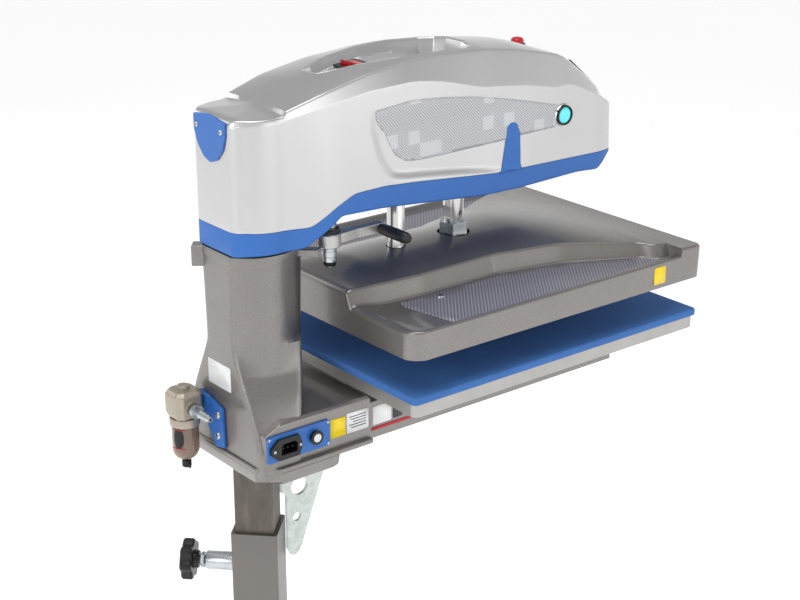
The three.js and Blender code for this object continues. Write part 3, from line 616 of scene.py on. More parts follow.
def screw(name, pos, normal, r, body, mat="zinc", slot="zinc", drive="cross", height=None):
    """Pan-head screw: domed head with a driver recess; the head's underside sits on pos."""
    h = height or r * 0.55
    prof = [(0, -0.4), (r, -0.4), (r, h * 0.35), (r * 0.93, h * 0.66), (r * 0.7, h * 0.9), (r * 0.38, h * 0.99), (0, h)]
    q = Vector((0, 0, 1)).rotation_difference(Vector(normal).normalized())
    verts, faces, rings, n = [], [], [], 32
    for rr, z in prof:
        if rr < 1e-6:
            rings.append([len(verts)])
            verts.append((0, 0, z))
        else:
            rings.append(list(range(len(verts), len(verts) + n)))
            verts += [(rr * math.cos(2 * math.pi * k / n), rr * math.sin(2 * math.pi * k / n), z) for k in range(n)]
    for a, b in zip(rings[:-1], rings[1:]):
        for k in range(n):
            k2 = (k + 1) % n
            if len(a) == 1:
                faces.append((a[0], b[k2], b[k]))
            elif len(b) == 1:
                faces.append((a[k], a[k2], b[0]))
            else:
                faces.append((a[k], a[k2], b[k2], b[k]))
    place = lambda v: tuple(Vector(pos) + q @ Vector(v))
    o = obj(name, [place(v) for v in verts], faces, mat, body, slot=slot)
    cuts = []
    if drive == "cross":
        for a in (0, math.pi / 2):
            v, f = cbox(-r * 0.52, r * 0.52, -r * 0.11, r * 0.11, h * 0.35, h * 1.5)
            ca, sa = math.cos(a + 0.5), math.sin(a + 0.5)
            cuts.append(([place((x * ca - y * sa, x * sa + y * ca, z)) for x, y, z in v], f))
    else:
        v, f = cprism(circle(0, 0, r * 0.5, 6), h * 0.2, h * 1.5)
        cuts.append(([place(p) for p in v], f))
    cut_with(o, cuts)
    for p in o.data.polygons:
        p.use_smooth = True
    return split(o, 35)


# ------------------------------------------------------------------ camera and light
cam_d = bpy.data.cameras.new("camera")
cam = bpy.data.objects.new("camera", cam_d)
bpy.context.scene.collection.objects.link(cam)
cam_d.sensor_width = 36.0
cam_d.lens = 73.86
cam_d.clip_start, cam_d.clip_end = 0.05, 60.0
cam.location = (-1.6192, 1.2339, 1.7611)
yaw, pit = math.radians(38.615), math.radians(20.445)
look = Vector((math.cos(yaw) * math.cos(pit), -math.sin(yaw) * math.cos(pit), -math.sin(pit)))
cam.rotation_euler = look.to_track_quat("-Z", "Y").to_euler()
bpy.context.scene.camera = cam


def area(name, loc, target, size, power, size_y=None, color=(1, 1, 1)):
    d = bpy.data.lights.new(name, "AREA")
    d.shape = "RECTANGLE"
    d.size, d.size_y = size, size_y or size
    d.energy = power
    d.color = color
    o = bpy.data.objects.new(name, d)
    bpy.context.scene.collection.objects.link(o)
    o.location = loc
    o.rotation_euler = (Vector(target) - Vector(loc)).to_track_quat("-Z", "Y").to_euler()
    return o


AIM = (0.0, 0.0, 1.1)
area("top_box", (-0.5, 0.5, 3.4), (0, 0, 1.1), 1.5, 24)
area("left_box", (-3.0, -0.9, 1.3), (0, 0, 1.2), 2.4, 9, 1.0)
area("rear_box", (-0.6, 3.2, 2.0), AIM, 1.4, 20, 1.6)
area("right_box", (3.0, 1.2, 2.2), AIM, 1.6, 14, 1.6)
area("front_box", (0.4, -3.2, 2.0), AIM, 2.0, 14, 1.6)
world = bpy.data.worlds.new("studio")
bpy.context.scene.world = world
world.use_nodes = True
wt = world.node_tree
bg = wt.nodes["Background"]
wtc = wt.nodes.new("ShaderNodeTexCoord")
wsep = wt.nodes.new("ShaderNodeSeparateXYZ")
wt.links.new(wtc.outputs["Generated"], wsep.inputs[0])
wr = wt.nodes.new("ShaderNodeValToRGB")
els = wr.color_ramp.elements
stops = [(0.0, 1.0), (0.50, 1.0), (0.56, 0.85), (0.655, 0.64), (0.74, 0.34), (0.86, 0.42), (1.0, 0.9)]
while len(els) < len(stops):
    els.new(0.5)
for el, (p_, g_) in zip(els, stops):
    el.position = p_
    el.color = (g_, g_, g_, 1)
wm = wt.nodes.new("ShaderNodeMath")
wm.operation = "MULTIPLY_ADD"
wm.inputs[1].default_value = 0.5
wm.inputs[2].default_value = 0.5
wt.links.new(wsep.outputs["Z"], wm.inputs[0])
wt.links.new(wm.outputs[0], wr.inputs["Fac"])
wt.links.new(wr.outputs["Color"], bg.inputs["Color"])
bg.inputs["Strength"].default_value = 0.95
bpy.context.scene.view_settings.view_transform = "Standard"

# plain pale floor
m = Mat("floor", lin(247, 247, 247), 0.7, emit=(1, 1, 1, 1), emit_k=0.45).vary(0.6, 0.01, 0.02)
MAT["floor"] = m.m
fme = bpy.data.meshes.new("studio_floor")
fme.from_pydata([(-9, -9, 0), (9, -9, 0), (9, 9, 0), (-9, 9, 0)], [], [(0, 1, 2, 3)])
fme.materials.append(m.m)
floor = bpy.data.objects.new("studio_floor", fme)
bpy.context.scene.collection.objects.link(floor)

# ------------------------------------------------------------------ the head's surface
TOP_T = [[-206, 275], [-195, 287], [-120, 349.5], [-109, 354], [-43, 368], [17, 376], [90, 380], [110, 381], [143, 380], [217, 373], [284, 360], [345, 342.5], [375, 340.5], [396, 339.5], [402, 336]]
SEAM_T = [[-206, 211.5], [-33, 214], [17, 215], [144, 227], [198, 231], [246, 230], [274, 218], [307, 197], [376, 200], [402, 201]]
BOT_T = [[-206, 210.5], [-174, 187], [-150, 189], [-134, 190], [-32, 187], [36, 188], [145, 198], [203, 203], [266, 205], [286, 190], [316, 171], [384, 171], [402, 170]]
CREASE_T = [[-206, 57], [-196, 66], [-180, 68], [-120, 60], [-64, 56], [6, 54], [99, 57], [162, 61], [217, 65], [284, 68], [345, 62.5], [402, 50]]
FACET_T = [[-206, 3], [-190, 8], [-150, 22], [-100, 44], [32, 46], [90, 34], [150, 24], [284, 16], [345, 10], [402, 8]]
TOP = curve(TOP_T, 5.0)
SEAM = curve(SEAM_T, 5.0)
BOT = curve(BOT_T, 3.5)
CREASE = curve(CREASE_T, 7.0)
FACET = curve(FACET_T, 8.0)
HW0 = curve([[-206, 58], [-200, 64], [-184, 68.5], [-172, 70], [284, 70], [316, 66.5], [345, 63.6]], 2.0)


def head_half(y, z):
    w = math.sqrt(max(0.0, 63.8 ** 2 - (y - AX) ** 2)) if y >= 345 else float(HW0(y))
    return w + 8 * float(sstep(335, 262, y)) * (375 - z) / 185


def crown(y):
    return 6 * float(sstep(-130, -60, y)) * float(sstep(360, 250, y))


SCOOP = np.array([(219.5, 330), (219, 320), (218, 304), (214.5, 289), (210.5, 273), (206.5, 263.5), (201, 254), (195.5, 246),
                  (188, 238.5), (178, 235.3), (166, 233.2), (143, 230.8), (101, 226), (60, 220.5), (22, 214.5), (-20, 211)])


def scoop_depth(y, z):
    """How far the side is set back inside the swept edge, fading upwards and forwards."""
    if y > 232 or z > 332 or z < 200:
        return 0.0
    a, b = SCOOP[:-1], SCOOP[1:]
    p = np.array((y, z))
    ab = b - a
    t = np.clip(((p - a) * ab).sum(1) / (ab * ab).sum(1), 0, 1)
    q = a + ab * t[:, None]
    dist = np.hypot(*(q - p).T)
    k = int(dist.argmin())
    cr = ab[k][0] * (p - a[k])[1] - ab[k][1] * (p - a[k])[0]
    d = dist[k] if cr < 0 else -dist[k]
    if d <= 0:
        return 0.0
    return 4.2 * float(sstep(0, 9.5, d)) * (1 - float(sstep(292, 328, z))) * float(sstep(-60, 90, y))


def wall_x(y, z):
    return head_half(y, z) - scoop_depth(y, z)


def cover_section(y, e=0.0, hollow=False):
    """Right half of the cover's section, from the seam up and over to the middle."""
    inset = 3.0 if hollow else e
    roll = 7.0 * (1 - math.sqrt(max(0.0, 1 - (max(0.0, y - 393.0) / 9.0) ** 2)))
    t = float(TOP(y)) - inset - roll * 0.6
    zf = float(TOP(y)) - float(FACET(y)) - 0.5 * inset
    zs = float(SEAM(y)) + (-30 if hollow else 0.3)
    if zf < zs + 3:
        zf = zs + 3
    full = head_half(y, t)
    wc = min(head_half(y, t) - 2 if y > 352 else float(CREASE(y)), full - 0.6) - inset
    cr = crown(y)
    zr = 0.0
    A = (head_half(y, zs) - inset - 1.2, zs)
    B = (head_half(y, zs) - inset, zs)
    C = (head_half(y, zf) - inset, zf)
    Dp = (wc, t)
    E = (0.86 * wc, t + cr * (1 - 0.86 ** 2))
    P = round_poly([A, B, C, Dp, E], [0, 0.9, 6.0, 3.2, 0], 6)
    out = [P[0]] + P[1:8] + between(P[7], P[8], 34) + P[8:15] + between(P[14], P[15], 8) + P[15:22]
    for k in range(0, 15):
        f = 0.86 * (1 - k / 14)
        out.append(np.array((f * wc, t + cr * (1 - f * f))))
    res = []
    for x, z in out:
        if z < 332 and x > head_half(y, z) - 2.5 - inset:
            x = x - scoop_depth(y, z)
        if y > 338:                                  # flat triangle behind the peak, its sides fall away
            lim = 38 * (y - 338) / 60
            if z > zf + 2 and x > lim:
                z = z - 0.075 * (x - lim)
        if not hollow and y > 384 and z < 331:       # upright bead along the rear corner
            x = x + 1.3 * math.exp(-((y - 396.5) / 2.6) ** 2) - 0.9 * math.exp(-((y - 389.5) / 2.4) ** 2)
        res.append((x, z))
    return res


def ring(sec, y):
    return [(x, y, z) for x, z in sec] + [(-x, y, z) for x, z in sec[-2::-1]]


def end_e(y, lo, hi, rlo, rhi):
    if y < lo + rlo:
        k = (lo + rlo - y) / rlo
        return rlo * (1 - math.sqrt(max(0.0, 1 - k * k)))
    if y > hi - rhi:
        k = (y - hi + rhi) / rhi
        return rhi * (1 - math.sqrt(max(0.0, 1 - k * k)))
    return 0.0


def stations(lo, hi, step, fine=6.0, n=9):
    a = [lo + fine * (1 - math.cos(math.pi / 2 * k / n)) for k in range(n + 1)]
    b = [hi - fine * (1 - math.cos(math.pi / 2 * k / n)) for k in range(n + 1)]
    m = int((b[-1] - a[-1]) / step)
    mid = [a[-1] + (b[-1] - a[-1]) * k / m for k in range(1, m)]
    return a + mid + b[::-1]


ST = stations(-206, 402, 3.5)
rows = [ring(cover_section(y, end_e(y, -206, 402, 5.0, 4.0)), y) for y in ST]
cover = obj("head_cover_shell", *loft(rows), "silver", "swing_head", replaces=("head_cover",), slot="silver_paint")
inner_rows = [ring(cover_section(y, hollow=True), y) for y in np.linspace(-202.5, 398.6, 124)]


def boat(grow):
    half = [[23, 16], [29, 36], [50, 46], [100, 48], [155, 44], [205, 33], [243, 22], [258, 15]]
    r = [(w + grow, y + (grow if y > 255 else -grow if y < 25 else 0)) for y, w in half]
    return r + [(-x, y) for x, y in r[::-1]]


cut_with(cover, [loft(inner_rows), cprism(boat(0), 340, 420), cbox(-40, 40, -210, -120, 302, 339),
                 cyl_verts(13.2, (-120, -107, 274), (120, -107, 274)), cyl_verts(9.7, (37, -122, 300), (37, -122, 420))])
split(cover, 28)

# recess in the roof: silver walls running down to a woven floor, deeper finger pocket in front
FLOOR = curve([[23, 352], [73, 354], [86, 366.5], [125, 369], [158, 368.5], [232, 362.5], [258, 357]], 3.0)


def roof_z(x, y):
    wc = float(CREASE(y))
    return float(TOP(y)) + crown(y) * (1 - (x / wc) ** 2)


rim = [np.array(p) for p in round_poly(boat(0), [8] * 16, 6, closed=True)]
nrm = []
for i in range(len(rim)):
    k = 1
    while np.linalg.norm(rim[(i + k) % len(rim)] - rim[i - k]) < 1e-3:
        k += 1
    d_ = rim[(i + k) % len(rim)] - rim[i - k]
    d_ = d_ / np.linalg.norm(d_)
    nrm.append(np.array((-d_[1], d_[0])))
cen = np.array((0.0, 140.0))
sgn = np.sign(sum(float(np.dot(n_, cen - p_)) for n_, p_ in zip(nrm, rim)))
nrm = [n_ * sgn for n_ in nrm]
basin_rings = []
for ins, fr_ in ((-1.3, -0.02), (-0.9, -0.05), (0.0, -0.06), (0.9, -0.02), (2.2, 0.10), (4.0, 0.34), (6.2, 0.66), (8.6, 0.89), (11.0, 0.99), (12.4, 1.04)):
    ring_ = []
    for p_, n_ in zip(rim, nrm):
        q_ = p_ + n_ * ins
        zt, zb = roof_z(p_[0], p_[1]), float(FLOOR(q_[1]))
        zz = zt + 0.35 if fr_ < 0 else zt * (1 - fr_) + zb * fr_
        if fr_ == -0.02 and ins < -1:
            zz = zt - 0.4
        ring_.append((q_[0], q_[1], zz))
    basin_rings.append(ring_)
bv, bf = loft(basin_rings, caps=False)
basin = obj("top_tray_basin", bv, bf, "silver", "swing_head", replaces=("top_tray",), slot="silver_paint")
sol = basin.modifiers.new("thick", "SOLIDIFY")
sol.thickness = 0.0012
sol.offset = -1.0
floor_o = [tuple(p_ + n_ * 11.2) for p_, n_ in zip(rim, nrm)]
patch("top_tray_floor", floor_o, lambda x, y: (x, y, float(FLOOR(y)) + 0.05), "tray", "swing_head", step=3.0, thick=0.5, slot="carbon")

# ------------------------------------------------------------------ blue trim under the head
def trim_section(y, e=0.0, hollow=False):
    z0, z1 = float(BOT(y)), float(SEAM(y))
    z1 = max(z1, z0 + 0.8)
    if hollow:
        z0, z1 = z0 + 3, z1 + 20
        B, C = (head_half(y, z0) - 3, z0), (head_half(y, z1) - 3, z1)
    else:
        z0 = z0 + e
        z1 = max(z1, z0 + 0.8)
        B, C = (head_half(y, z0) - e, z0), (head_half(y, z1) - e, z1)
    P = round_poly([(0, z0), B, C, (C[0] - 1.2, z1)], [0, 3.2, 0.8, 0], 6)
    out = [P[0]] + between(P[0], P[1], 10) + P[1:8] + between(P[7], P[8], 8) + P[8:15] + [P[15]]
    res = []
    for x, z in out:
        if not hollow and x > head_half(y, z) - 3:
            x -= scoop_depth(y, max(z, 214)) * 0.0
        res.append((x, z))
    return res


def tring(sec, y):
    return [(-x, y, z) for x, z in sec[::-1]] + [(x, y, z) for x, z in sec[1:]]


trows = [tring(trim_section(y, end_e(y, -206, 402, 0.6, 2.5)), y) for y in ST]
trim = obj("head_trim_shell", *loft(trows), "blue", "swing_head", replaces=("head_trim",), slot="blue_paint")
tin = [tring(trim_section(y, hollow=True), y) for y in np.linspace(-199.5, 398.6, 114)]
cut_with(trim, [loft(tin), cyl_verts(46, (0, AX, 140), (0, AX, 240), 96), cyl_verts(17, (0, 22, 170), (0, 22, 230), 64),
                cyl_verts(14.5, (0, 122, 170), (0, 122, 240), 64), cyl_verts(9.6, (-57, 272, 170), (-57, 272, 240), 48)])
split(trim, 30)

# ------------------------------------------------------------------ printed weave and blue tongue on both sides
DECAL = [(211, 328), (184, 330), (152, 333), (102, 329), (51, 322), (-1.5, 312), (-42, 303), (-97, 289.5), (-101, 286), (-100, 281),
         (-94, 262), (-90, 260), (-30, 259), (13, 256), (94, 254), (144, 254), (160, 255.5), (166, 258), (179, 267), (189, 283),
         (194, 298), (199, 301), (209, 315)]
BORDER = DECAL
for tag, s in (("left", -1), ("right", 1)):
    def on_wall(off):
        return lambda y, z, s=s: (s * (wall_x(y, z) + off), y, z)
    dec = [tuple(p) for p in round_poly(DECAL, [2.5] * len(DECAL), 3, closed=True)]
    patch("side_decal_" + tag, dec, on_wall(0.32), "decal", "swing_head", step=4.0, thick=0.3, slot="carbon")
    top = [(-15 + 9.5 * math.cos(math.radians(a)), 268.5 + 9.5 * math.sin(math.radians(a))) for a in range(14, 168, 14)]
    tongue = [(10, 213.8), (5.5, 216), (3.2, 222), (-0.5, 240), (-5, 262)] + top + [(-27.5, 262), (-27.8, 240), (-27.8, 222), (-29.5, 216), (-34, 213.2)]
    patch("side_tongue_" + tag, tongue, on_wall(0.55), "blue", "swing_head", step=3.0, thick=1.5, slot="blue_paint")

# ------------------------------------------------------------------ rear badge and its screws
bx = [(34, 336), (34, 318), (27, 300), (14, 286), (0, 281), (-14, 286), (-27, 300), (-34, 318), (-34, 336), (0, 341)]
bx = [tuple(p) for p in round_poly(bx, [3, 14, 14, 12, 10, 12, 14, 14, 3, 60], 5, closed=True)]
prism("rear_badge_plate", bx, 402.3, 404.9, "blue", "swing_head", frame3=YF, bev=0.8, replaces=("rear_badge",), slot="blue_paint")
for i, x in enumerate((-26.5, 26.5)):
    screw("badge_screw_%d" % i, (x, 404.9, 323), (0, 1, 0), 3.4, "swing_head")

# ------------------------------------------------------------------ start buttons, stop button
for tag, s in (("left", -1), ("right", 1)):
    w0 = s * (head_half(-107, 274) + 0.5)
    lathe("start_bezel_ring_" + tag, [(11.4, -13), (11.4, 2.4), (12.0, 3.6), (13.4, 3.4), (14.0, 1.2), (13, 0.4), (13, -13), (11.4, -13)], "black", "swing_head",
          origin=(w0, -107, 274), axis=(s, 0, 0), replaces=("start_bezel_" + tag,), slot="chrome")
    lathe("start_bezel_rim_" + tag, [(13.9, 0.3), (14.2, 1.4), (14.9, 1.5), (15.6, 0.3), (13.9, 0.3)], "chrome", "swing_head", origin=(w0 - s * 0.5, -107, 274), axis=(s, 0, 0), slot="chrome")
    lathe("start_button_cap_" + tag, [(0, -12), (11, -12), (11, 1.2), (10.4, 2.2), (8, 3.0), (4, 3.5), (0, 3.6)], "teal", "start_button_%s_body" % tag,
          origin=(w0, -107, 274), axis=(s, 0, 0), replaces=("start_button_" + tag,), slot="teal_lens")
lathe("stop_button_cap", [(0, 331), (6.8, 331), (6.8, 352), (8.8, 352.1), (9.2, 353), (9.2, 356), (8.6, 357.8), (6.8, 359.3), (3.6, 360.2), (0, 360.5)], "red",
      "stop_button_body", origin=(37, -122, 0), replaces=("stop_button",), slot="red_plastic")
lathe("stop_button_collar", [(9.7, 336), (9.7, 351.2), (10.6, 351.6), (11.6, 350.8), (11.8, 336), (9.7, 336)], "black", "swing_head",
      origin=(37, -122, 0), slot="black_plastic")


def shade(o, angle=32, weight=50):
    """Sharp edges by angle, the rest smooth with area-weighted normals."""
    bm = bmesh.new()
    bm.from_mesh(o.data)
    bmesh.ops.recalc_face_normals(bm, faces=bm.faces)
    lim = math.radians(angle)
    for e in bm.edges:
        e.smooth = not (len(e.link_faces) == 2 and e.calc_face_angle(0.0) > lim)
    for f in bm.faces:
        f.smooth = True
    bm.to_mesh(o.data)
    bm.free()
    w = o.modifiers.new("shade", "WEIGHTED_NORMAL")
    w.keep_sharp = True
    w.weight = weight
    return o


def helper(v, f, bev=0.0, seg=3, angle=30):
    c = cutter("helper", v, f)
    if bev > 0:
        b = c.modifiers.new("edge", "BEVEL")
        b.width = bev * 0.001
        b.segments = seg
        b.limit_method = "ANGLE"
        b.angle_limit = math.radians(angle)
    return c


# ------------------------------------------------------------------ upper platen cover
RIDGE_T = [[-211, 172], [-190, 168], [-184, 148], [-176, 146], [-160, 138], [-79, 95], [20, 74], [150, 76], [200, 72], [256, 64]]
RIDGE = curve(RIDGE_T, 3.5)
HWC, HLC, RC, RE = 206.0, 256.0, 24.0, 8.0


def plan_hw(y):
    rc = RC if y > 0 else 13.0                       # the front corners are tighter
    a = abs(y) - (HLC - rc)
    return HWC - rc + math.sqrt(max(0.0, rc * rc - a * a)) if a > 0 else HWC


def platen_section(y, solid):
    hw = max(HWC - 24 + 0.0, plan_hw(y))
    k = abs(y) - (HLC - RE)
    ends = RE - math.sqrt(max(0.0, RE * RE - k * k)) if k > 0 else 0.0
    r = min(float(RIDGE(y)), hw - 22)
    z0 = 96 + 8 * float(sstep(-256, -60, y)) - ends
    bump = 14 * float(sstep(-256, -40, y)) * (1 - float(sstep(190, 256, y)))
    fl0 = 79 + 5 * float(sstep(204, 250, y))
    rim = min(86.0 - ends, z0)
    fl = min(fl0 - ends, rim - 0.2) if y > 204 else 79.0
    if k > 0 and not solid:
        fl = min(fl, rim - 0.2)
    if solid:
        P = [(hw - 3.5, 48), (hw - 1.5, 48), (hw, z0), (hw - 9, z0), (hw - 13, z0), (hw - 15, z0), (hw - 17, z0)]
        edge, base = hw - 17, z0
    else:
        P = [(hw - 3.5, 48), (hw - 1.5, 48), (hw, rim), (hw - 7, rim), (hw - 12.5, fl), (min(r + 13, hw - 15), fl), (min(r + 4, hw - 19), z0)]
        edge, base = min(r + 4, hw - 19), z0
    n1 = (edge * 0.9, base + bump * (1 - 0.9 ** 2))
    Q = round_poly(P + [n1], [0, 1.2, 6.5, 3.0, 3.0, 5.0, 5.0, 0], 6)
    out = [Q[0]] + Q[1:8] + between(Q[7], Q[8], 5) + Q[8:15] + between(Q[14], Q[15], 1) + Q[15:22] + Q[22:29] + between(Q[28], Q[29], 8) \
        + Q[29:36] + between(Q[35], Q[36], 2) + Q[36:43]
    for i in range(17):
        f = 0.9 * (1 - i / 16)
        out.append(np.array((edge * f, base + bump * (1 - f * f))))
    return [(float(x), float(z)) for x, z in out]


PS = [y for y in stations(-256, 256, 5.0, fine=24.0, n=16)]
PS = sorted([y for y in PS if not -214 < y < -209] + [-212.6, -211.6, -209.0])
prow = [ring(platen_section(y, y < -212), y) for y in PS]
pcover = obj("platen_cover_shell", *loft(prow), "grey", "upper_platen", replaces=("platen_cover",), slot="grey_paint")
cut_with(pcover, [cprism(rrect(-200, 200, -250, 250, 18, 10), 40, 70.3), cyl_verts(22.5, (0, 22, 60), (0, 22, 140), 72),
                  cyl_verts(13.4, (0, 122, 60), (0, 122, 140), 64)])
shade(pcover, 34)

# striped inserts lying in the two side recesses
for tag, s in (("left", -1), ("right", 1)):
    outl = [(-190.5, 181), (-190.5, -207), (-177, -207), (-153.0, -186), (-152, -160), (-113, -79), (-92, 20), (-93.5, 150), (-92.5, 190), (-110, 196), (-150, 188)]
    if s > 0:
        outl = [(-190.5, 181), (-190.5, -207), (-177, -207), (-153.0, -186), (-152, -160), (-113, -79), (-92, 20), (-93.5, 150), (-92.5, 190), (-110, 196), (-150, 188)]
    outl = [tuple(p) for p in round_poly([(s * -p[0] * -1, p[1]) for p in outl], [4] * len(outl), 4, closed=True)]
    patch("striped_insert_" + tag, outl, lambda x, y: (x, y, 79.45), "insert", "upper_platen", step=14.0, thick=0.7, slot="carbon")
    # a hex-drive screw on each insert
    if s < 0:
        screw("insert_screw_" + tag, (s * 110, 136, 79.9), (0, 0, 1), 5.2, "upper_platen", mat="zinc", drive="hex")
    else:
        screw("insert_screw_" + tag, (s * 110, 136, 79.9), (0, 0, 1), 5.2, "upper_platen", mat="zinc", drive="hex")

# ------------------------------------------------------------------ piston rod, nut, guide shaft
RY, GY = 22.0, 122.0
v, f = cyl_verts(14.2, (0, RY, 71), (0, RY, 262), 96)
prod = obj("piston_rod_turned", v, f, "chrome", "upper_platen", replaces=("piston_rod",), slot="chrome")
cut_with(prod, [cbox(-20, 20, RY + 11.8, RY + 30, 139, 156), cbox(-20, 20, RY - 30, RY - 11.8, 139, 156),
                cyl_verts(3.0, (-20, RY, 147), (20, RY, 147), 32)])
shade(prod, 30)
hexp = [(21.4 * math.cos(math.radians(60 * i + 19.4)), RY + 21.4 * math.sin(math.radians(60 * i + 19.4))) for i in range(6)]
v, f = cprism(hexp, 108, 134)
nut = obj("rod_nut_turned", v, f, "zinc", "upper_platen", replaces=("rod_nut",), slot="zinc")
bevel(nut, 0.6, 2, weighted=False)
v, f = cyl_verts(14.45, (0, RY, 100), (0, RY, 140), 64)
cone = helper(*cyl_verts(22.2, (0, RY, 104), (0, RY, 129.5), 96))
me_cut = loft([[(r * math.cos(2 * math.pi * k / 96), RY + r * math.sin(2 * math.pi * k / 96), z) for k in range(96)] for r, z in ((40, 128), (40, 140), (17.5, 140), (17.5, 134.6))], caps=False)
vv, ff = me_cut
n96 = 96
ff += [(j, (j + 1) % n96, 3 * n96 + (j + 1) % n96, 3 * n96 + j) for j in range(n96)]
bpy.data.objects.remove(cone)
cut_with(nut, [(v, f), (vv, ff)])
shade(nut, 28)
lathe("guide_shaft_turned", [(0, 71), (11.9, 71), (11.9, 310.5), (10.6, 312), (0, 312)], "chrome", "upper_platen", origin=(0, GY, 0),
      replaces=("guide_shaft",), slot="chrome")
lathe("swing_post_turned", [(0, -29.7), (21.7, -29.7), (21.7, 303), (20, 305), (0, 305)], "chrome", "press_base", origin=(0, AX, 0),
      replaces=("swing_post",), slot="chrome")

# ------------------------------------------------------------------ lock lever
LX, LY = -57.0, 272.0
lathe("lever_post_turned", [(0, 137), (6.4, 137), (7.4, 138.2), (7.4, 143.6), (7.7, 144), (8.6, 144.3), (8.8, 145), (8.8, 149.6), (8.2, 150), (8.2, 151), (8.8, 151.4),
                            (8.8, 157.8), (8.2, 158.2), (8.2, 159), (8.8, 159.4), (8.8, 182), (9.1, 183), (9.1, 231), (0, 231)],
      "zinc", "lock_lever", origin=(LX, LY, 0), n=96, replaces=("lever_post",), slot="zinc")
lathe("lever_post_tip", [(0, 136.0), (5.2, 136.0), (6.6, 137.2), (7.9, 139.0), (8.1, 143.4), (7.6, 144.2), (0, 144.2)], "rubber", "lock_lever", origin=(LX, LY, 0), slot="rubber")
lathe("lever_cap", [(9.2, 180.9), (12.6, 180.9), (13.4, 182.0), (13.4, 186), (12.4, 187.4), (9.2, 187.4), (9.2, 180.9)], "black", "lock_lever", origin=(LX, LY, 0), slot="black_plastic")
arm = [(-10, -6), (-9, -20), (-6.4, -40), (-7, -72), (-6, -81), (6, -81), (6.5, -72), (6.3, -40), (9, -20), (12, -6)]
arm = [tuple(p) for p in round_poly(arm, [6, 20, 20, 10, 5, 5, 10, 20, 20, 6], 6, closed=True)]
v, f = cprism([(LX + p[0], LY + p[1]) for p in arm], 165.2, 180)
la = obj("lever_arm_cast", v, f, "cast", "lock_lever", replaces=("lever_arm",), slot="raw_aluminium")
bevel(la, 2.2, 4, weighted=False)
ringb = helper(*loft([[(LX + r * math.cos(2 * math.pi * k / 72), LY + r * math.sin(2 * math.pi * k / 72), z) for k in range(72)]
                      for r, z in ((13.2, 163), (14.6, 164.4), (14.6, 179.6), (13.2, 181))]))
unite(la, ringb)
cut_with(la, [cyl_verts(9.1, (LX, LY, 150), (LX, LY, 200), 64)])
shade(la, 36)
lathe("lever_grip_moulded", [(0, 0), (6.0, 0), (6.6, 0.8), (6.4, 3), (7.3, 5), (7.6, 30), (7.5, 46), (7.0, 51), (5.6, 53.6), (2.6, 54.5), (0, 54.5)], "black", "lock_lever",
      origin=(LX - 7.4, LY - 76, 172.5), axis=(-1, 0, 0), n=72, replaces=("lever_grip",), slot="black_plastic")

# ------------------------------------------------------------------ column and base
COL_A = curve([[-110, 93], [-77, 88], [-15, 60], [20, 42], [50, 26], [168, 33]], 6.0)
COL_B = curve([[-110, 92.5], [-45, 90], [-15, 82], [0, 76], [20, 68], [40, 63], [60, 60.5], [168, 61]], 7.0)
COL_Y = curve([[-110, 343], [-45, 343], [-15, 336.5], [0, 332], [20, 325.5], [40, 321.5], [53, 320], [168, 320]], 7.0)
COL_R = curve([[-110, 61], [60, 58.8], [168, 61]], 9.0)


def hull2(pts):
    pts = sorted(set((round(float(x), 5), round(float(y), 5)) for x, y in pts))

    def half(seq):
        h = []
        for q in seq:
            while len(h) > 1 and (h[-1][0] - h[-2][0]) * (q[1] - h[-2][1]) - (h[-1][1] - h[-2][1]) * (q[0] - h[-2][0]) <= 0:
                h.pop()
            h.append(q)
        return h[:-1]

    return half(pts) + half(pts[::-1])


def column_loop(z, grow=0.0, n=180):
    a, b, R = float(COL_A(z)) + grow, float(COL_B(z)) + grow, float(COL_R(z)) + grow
    rear, yb = 402 + grow - AX, float(COL_Y(z)) - AX
    pts = [(R * math.cos(t), R * math.sin(t)) for t in np.linspace(math.pi, 2 * math.pi, 60)]
    pts += [(R * math.cos(t), min(rear, R * math.sin(t))) for t in np.linspace(0, math.pi, 60)]
    pts += [(a, rear), (-a, rear)]
    if z < 53:
        pts += [(b, yb), (-b, yb)]
    H = np.array(hull2(pts))
    rs = []
    for i in range(n):
        t = (i + 0.5) / n * 2 * math.pi
        c, s_ = math.cos(t), math.sin(t)
        best = 1e9
        for k in range(len(H)):
            p, q = H[k], H[(k + 1) % len(H)]
            nx, ny = q[1] - p[1], -(q[0] - p[0])
            den = nx * c + ny * s_
            if den > 1e-9:
                best = min(best, (nx * p[0] + ny * p[1]) / den)
        rs.append(best)
    rs = np.array(rs)
    w = np.exp(-0.5 * (np.arange(-4, 5) / 1.1) ** 2)
    w /= w.sum()
    rs = sum(w[j + 4] * np.roll(rs, j) for j in range(-4, 5))
    out = []
    for i in range(n):
        t = (i + 0.5) / n * 2 * math.pi
        out.append((rs[i] * math.cos(t), AX + min(rear, rs[i] * math.sin(t)), z))
    return out


